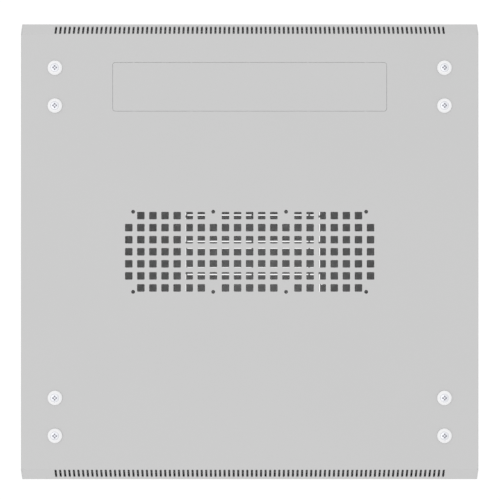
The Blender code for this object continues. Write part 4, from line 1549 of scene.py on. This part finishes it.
@dataclass
class Lock:
    """A quarter-turn lock: a barrel and nut that stay, and a plug and cam that turn.

    Its own Z points out of the door. Heights are from the door's face.
    """

    name: str
    case_body: str
    turning_body: str
    spot: Placement

    def barrel(self) -> Shell:
        """The flanged barrel and the nut that holds it from behind."""
        section = [
            (0.0073, 0.0014), (0.0088, 0.0020), (0.0110, 0.0020), (0.0130, 0.0008),
            (0.0130, 0.0003), (0.0095, 0.0003), (0.0095, -0.0270), (0.0073, -0.0270),
        ]
        back_nut = nut(0.0240, 0.0096, 0.005).at(Placement((0, 0, -0.0016)))
        return joined([turned_ring(section, 0.0002, 56), back_nut])

    def plug(self) -> Shell:
        """The plug: its face with the keyway, and the core that carries the cam."""
        keyway = slot_round([(0.0, -0.0028), (0.0, 0.0028)], 0.0009, 6)
        face = plate(ring((0, 0), 0.0070, 48), [keyway], 0.004, 0.0004)
        half_section = [
            (0, -0.0025), (0.0069, -0.0025), (0.0069, -0.0309), (0.0030, -0.0309),
            (0.0030, -0.0345), (0, -0.0345),
        ]
        return joined([face.at(Placement((0, 0, 0.0014))), turned_solid(half_section, 0.0003)])

    def cam(self) -> Shell:
        """The cam's blade and the head of the screw that holds it."""
        corners = [(0.008, -0.008), (0.008, 0.024), (-0.008, 0.024), (-0.008, -0.008)]
        blade = plate(rounded(corners, 0.006, 6), [ring((0, 0), 0.0032, 24)], 0.0025)
        head = plate(hexagon((0, 0), 0.0095), [], 0.0005, 0.0002)
        return joined([blade.at(Placement((0, 0, -0.0315))), head.at(Placement((0, 0, -0.0342)))])

    def build(self) -> None:
        """Makes the lock's pieces."""
        for part, shell, finish, solid, body in (
            ("barrel", self.barrel(), LOCK_CHROME, "case", self.case_body),
            ("key_face", self.plug(), LOCK_CHROME, "plug", self.turning_body),
            ("blade", self.cam(), ZINC, "cam", self.turning_body),
        ):
            add_piece(
                f"{self.name}_{part}", shell.at(self.spot), finish, f"{self.name}_{solid}", body
            )


@dataclass
class Doors:
    """The glazed front door and the steel rear door, with their locks."""

    half: Point = (0.2985, 0.9335)
    face: float = 0.299
    depth: float = 0.025
    hinge: Point = (0.2885, 0.291)
    window: Point = (0.225, 0.8435)
    window_corner: float = 0.006
    pane: Point = (0.240, 0.8585)
    pane_face: float = 0.2970
    lock_x: float = 0.2665
    stiffener_path: tuple[Point, ...] = (
        (-0.0306, -0.2970), (-0.0306, -0.2766), (0.0306, -0.2766), (0.0306, -0.2970),
    )
    stiffener_reach: Point = (0.1515, 1.8785)
    stiffener_slot: Point = (0.005, 0.02)

    def tray(self, end: End, solid: str, extra: list[Array]) -> None:
        """A door's tray, with a hole for its lock and one for each hinge pin.

        Args:
            end: Whether it is the front door or the rear one.
            solid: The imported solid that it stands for.
            extra: Its other holes.
        """
        tray = TrayPanel(self.half, self.depth)
        name, sy = f"{word(end)}_door", end.value
        spot = Placement((0, sy * self.face, DOOR_MIDDLE), upright(1, sy))
        along = tray.fold.along.nearest((self.half[1], self.hinge[1] - self.face))
        hinges = [ring((-sy * self.hinge[0], v), HINGE_HOLE) for v in (along, -along)]
        holes = [*extra, ring((sy * self.lock_x, 0.0), LOCK_HOLE, 32), *hinges]
        add_piece(f"{name}_tray", tray.shell(holes, spot), GREY_PAINT, solid, name)

    def lock(self, end: End) -> None:
        """A door's lock."""
        sy, name = end.value, word(end)
        place = (sy * self.lock_x, sy * self.face, DOOR_MIDDLE)
        spot = Placement(place, upright(-sy, sy))
        Lock(f"{name}_lock", f"{name}_door", f"{name}_lock", spot).build()

    def build(self) -> None:
        """Makes both doors."""
        window = rounded_box((0, 0), self.window, self.window_corner, 6)
        self.tray(End.FRONT, "front_door_frame", [window])
        self.glazing()
        self.lock(End.FRONT)
        self.tray(End.REAR, "rear_door_panel", [])
        self.stiffener()
        self.lock(End.REAR)

    def glazing(self) -> None:
        """The front door's pane, and the seal round its window."""
        axes = upright(1, -1)
        pane = plate(rounded_box((0, 0), self.pane, 0.008, 6), [], 0.004, 0.0006)
        pane = pane.at(Placement((0, -self.pane_face, DOOR_MIDDLE), axes))
        add_piece("front_door_pane", pane, GLASS, "front_door_glass", "front_door")
        width, height = self.window
        edge = rounded_box((0, 0), (width - 0.0002, height - 0.0002), self.window_corner, 6)
        section = rounded([(-0.0030, 0.0), (0.0, 0.0), (0.0, 0.0024), (-0.0022, 0.0024)], 0.0005, 3)
        spot = Placement((0, -self.pane_face - 0.00005, DOOR_MIDDLE), axes)
        add_piece("front_door_seal", swept(edge, section).at(spot), BLACK_RUBBER, body="front_door")

    def stiffener(self) -> None:
        """The folded stiffener inside the rear door, with its row of slots."""
        strip = Strip(self.stiffener_path, *self.stiffener_reach, 0.0012, 0.0022, 0.002, 0.0002)
        middle, (half, reach) = strip.path.length / 2, self.stiffener_slot
        slots = [
            slot_round([(middle, z - reach), (middle, z + reach)], half)
            for z in np.linspace(0.25, 1.78, 9)
        ]
        shell = strip.shell(slots, upright(1, -1))
        add_piece("rear_door_hat_section", shell, GREY_PAINT, "rear_door_stiffener", "rear_door")


@dataclass
class SidePanels:
    """The lift-off side panels with their hooks and locks."""

    half: Point = (0.264, 0.9335)
    face: float = 0.300
    depth: float = 0.015
    thickness: float = 0.0012
    lock_height: float = 1.900
    hook_face: float = 0.2972
    hook_y: float = 0.180

    def build(self) -> None:
        """Makes both panels."""
        tray = TrayPanel(self.half, self.depth, self.thickness)
        lock_hole = ring((0.0, self.lock_height - DOOR_MIDDLE), LOCK_HOLE, 32)
        hook_outline = rounded_box((0, 0.0761), (0.015, 0.0061), 0.002)
        hook = plate(hook_outline, [], self.thickness, 0.0002)
        for side in Side:
            sx, name = side.value, word(side)
            axes = ((0, 1, 0), (0, 0, 1), (sx, 0, 0))
            shells = [tray.shell([lock_hole], Placement((sx * self.face, 0, DOOR_MIDDLE), axes))]
            shells += [
                hook.at(Placement((sx * self.hook_face, y, 0), axes))
                for y in (-self.hook_y, self.hook_y)
            ]
            add_piece(
                f"side_panel_{name}_tray", joined(shells), GREY_PAINT,
                f"side_panel_{name}", f"{name}_panel",
            )
            lock_axes = ((0, 0, -1), (0, sx, 0), (sx, 0, 0))
            spot = Placement((sx * self.face, 0, self.lock_height), lock_axes)
            Lock(f"side_lock_{name}", f"{name}_panel", f"{name}_lock", spot).build()


@dataclass
class Feet:
    """The four levelling feet: a moulded pad and collar on a threaded stud."""

    place: Point = (0.225, 0.255)
    stud_top: float = 0.055
    thread_pitch: float = 0.0012

    def moulding(self) -> Shell:
        """One foot's pad and hexagon collar, about its own axis."""
        pad = turned_ring(
            [(0.0046, 0.0125), (0.0100, 0.0125), (0.0175, 0.0090), (0.0200, 0.0060),
             (0.0200, 0.0008), (0.0192, 0.0), (0.0150, 0.0), (0.0140, 0.0008), (0.0046, 0.0008)],
            0.0004, 48,
        )
        collar = plate(hexagon((0, 0), 0.0160, 0.001), [], 0.0078, 0.0006)
        return joined([pad, collar.at(Placement((0, 0, 0.0200)))])

    def stud(self) -> Shell:
        """One foot's threaded stud."""
        turns = np.arange(0.0205, self.stud_top - 0.001, self.thread_pitch / 2)
        return threaded(0.0050, 0.0005, turns, 0.002, (0.0038, self.stud_top))

    def build(self) -> None:
        """Makes the four feet, each a moulding and a stud."""
        moulding, stud = self.moulding(), self.stud()
        for end in End:
            for side in Side:
                spot = Placement((side.value * self.place[0], end.value * self.place[1], 0))
                name = f"foot_{word(end)}_{word(side)}"
                body = f"levelling_{name}"
                add_piece(f"{name}_pad", moulding.at(spot), BLACK_PLASTIC, name, body)
                add_piece(f"{name}_stud", stud.at(spot), ZINC_TURNED, body=body)


# ---------- studio


@dataclass
class Studio:
    """A pale floor, an even pale surround, one large soft light overhead and the camera."""

    surround: float = 0.92
    key_power: float = 40.0
    key_size: float = 6.0
    key_place: Triple = (-1.5, 0.0, 6.5)
    floor_half: float = 30.0
    floor_height: float = -0.0003
    floor_tone: float = 0.20
    floor_glow: float = 0.87
    aim_height: float = 1.4
    camera_height: float = 4.300
    lens: float = 126.4
    shift: Point = (0.00068, 0.00354)

    def build(self) -> None:
        """Makes the studio."""
        world = bpy.data.worlds.new("pale_surround")
        world.use_nodes = True
        bpy.context.scene.world = world
        backdrop = world.node_tree.nodes["Background"]
        backdrop.inputs["Color"].default_value = (1, 1, 1, 1)
        backdrop.inputs["Strength"].default_value = self.surround
        self.floor()
        self.key_light()
        self.camera()
        bpy.context.scene.view_settings.view_transform = "Standard"

    def floor(self) -> None:
        """A wide flat sheet with a little glow, so that its shade under the cabinet is soft."""
        reach, height = self.floor_half, self.floor_height
        mesh = bpy.data.meshes.new("studio_floor")
        corners = [(-reach, -reach), (reach, -reach), (reach, reach), (-reach, reach)]
        mesh.from_pydata([(x, y, height) for x, y in corners], [], [(0, 1, 2, 3)])
        recipe = Recipe("studio_floor_paper")
        fibre = recipe.span(recipe.noise(3.0, 6.0), self.floor_tone * 0.98, self.floor_tone)
        tone = recipe.add("ShaderNodeCombineColor", {0: fibre, 1: fibre, 2: fibre}).outputs[0]
        mesh.materials.append(recipe.finish(
            Base_Color=tone, Roughness=0.95, Specular_IOR_Level=0.0,
            Emission_Color=(1.0, 1.0, 1.0), Emission_Strength=self.floor_glow,
        ))
        new_object("studio_floor", mesh)

    def key_light(self) -> None:
        """A large square light overhead, a little to the left, aimed at the cabinet."""
        light = bpy.data.lights.new("key_light", "AREA")
        light.energy = self.key_power
        light.size = self.key_size
        lamp = new_object("key_light", light)
        place = np.array(self.key_place)
        toward = np.array((0.0, 0.0, self.aim_height)) - place
        flat = math.hypot(toward[0], toward[1])
        lamp.location = place
        lamp.rotation_euler = (math.atan2(flat, -toward[2]), 0.0, math.atan2(-toward[0], toward[1]))
        lamp.visible_camera = False

    def camera(self) -> None:
        """A camera straight above the roof, with the rear edge at the top of the picture."""
        data = bpy.data.cameras.new("camera")
        data.lens = self.lens
        data.shift_x, data.shift_y = self.shift
        data.clip_end = 100.0
        camera = new_object("camera", data)
        camera.location = (0.0, 0.0, self.camera_height)
        bpy.context.scene.camera = camera


def main() -> None:
    """Builds the studio, then the cabinet from its trays inwards, then the doors and panels."""
    logging.basicConfig(level=logging.INFO, format="%(message)s", stream=sys.stdout)
    Studio().build()
    roof = Roof()
    roof.build()
    Base().build(roof.screw_places())
    Frame().build(roof.screw_places())
    Doors().build()
    SidePanels().build()
    Feet().build()


if __name__ == "__main__":
    main()
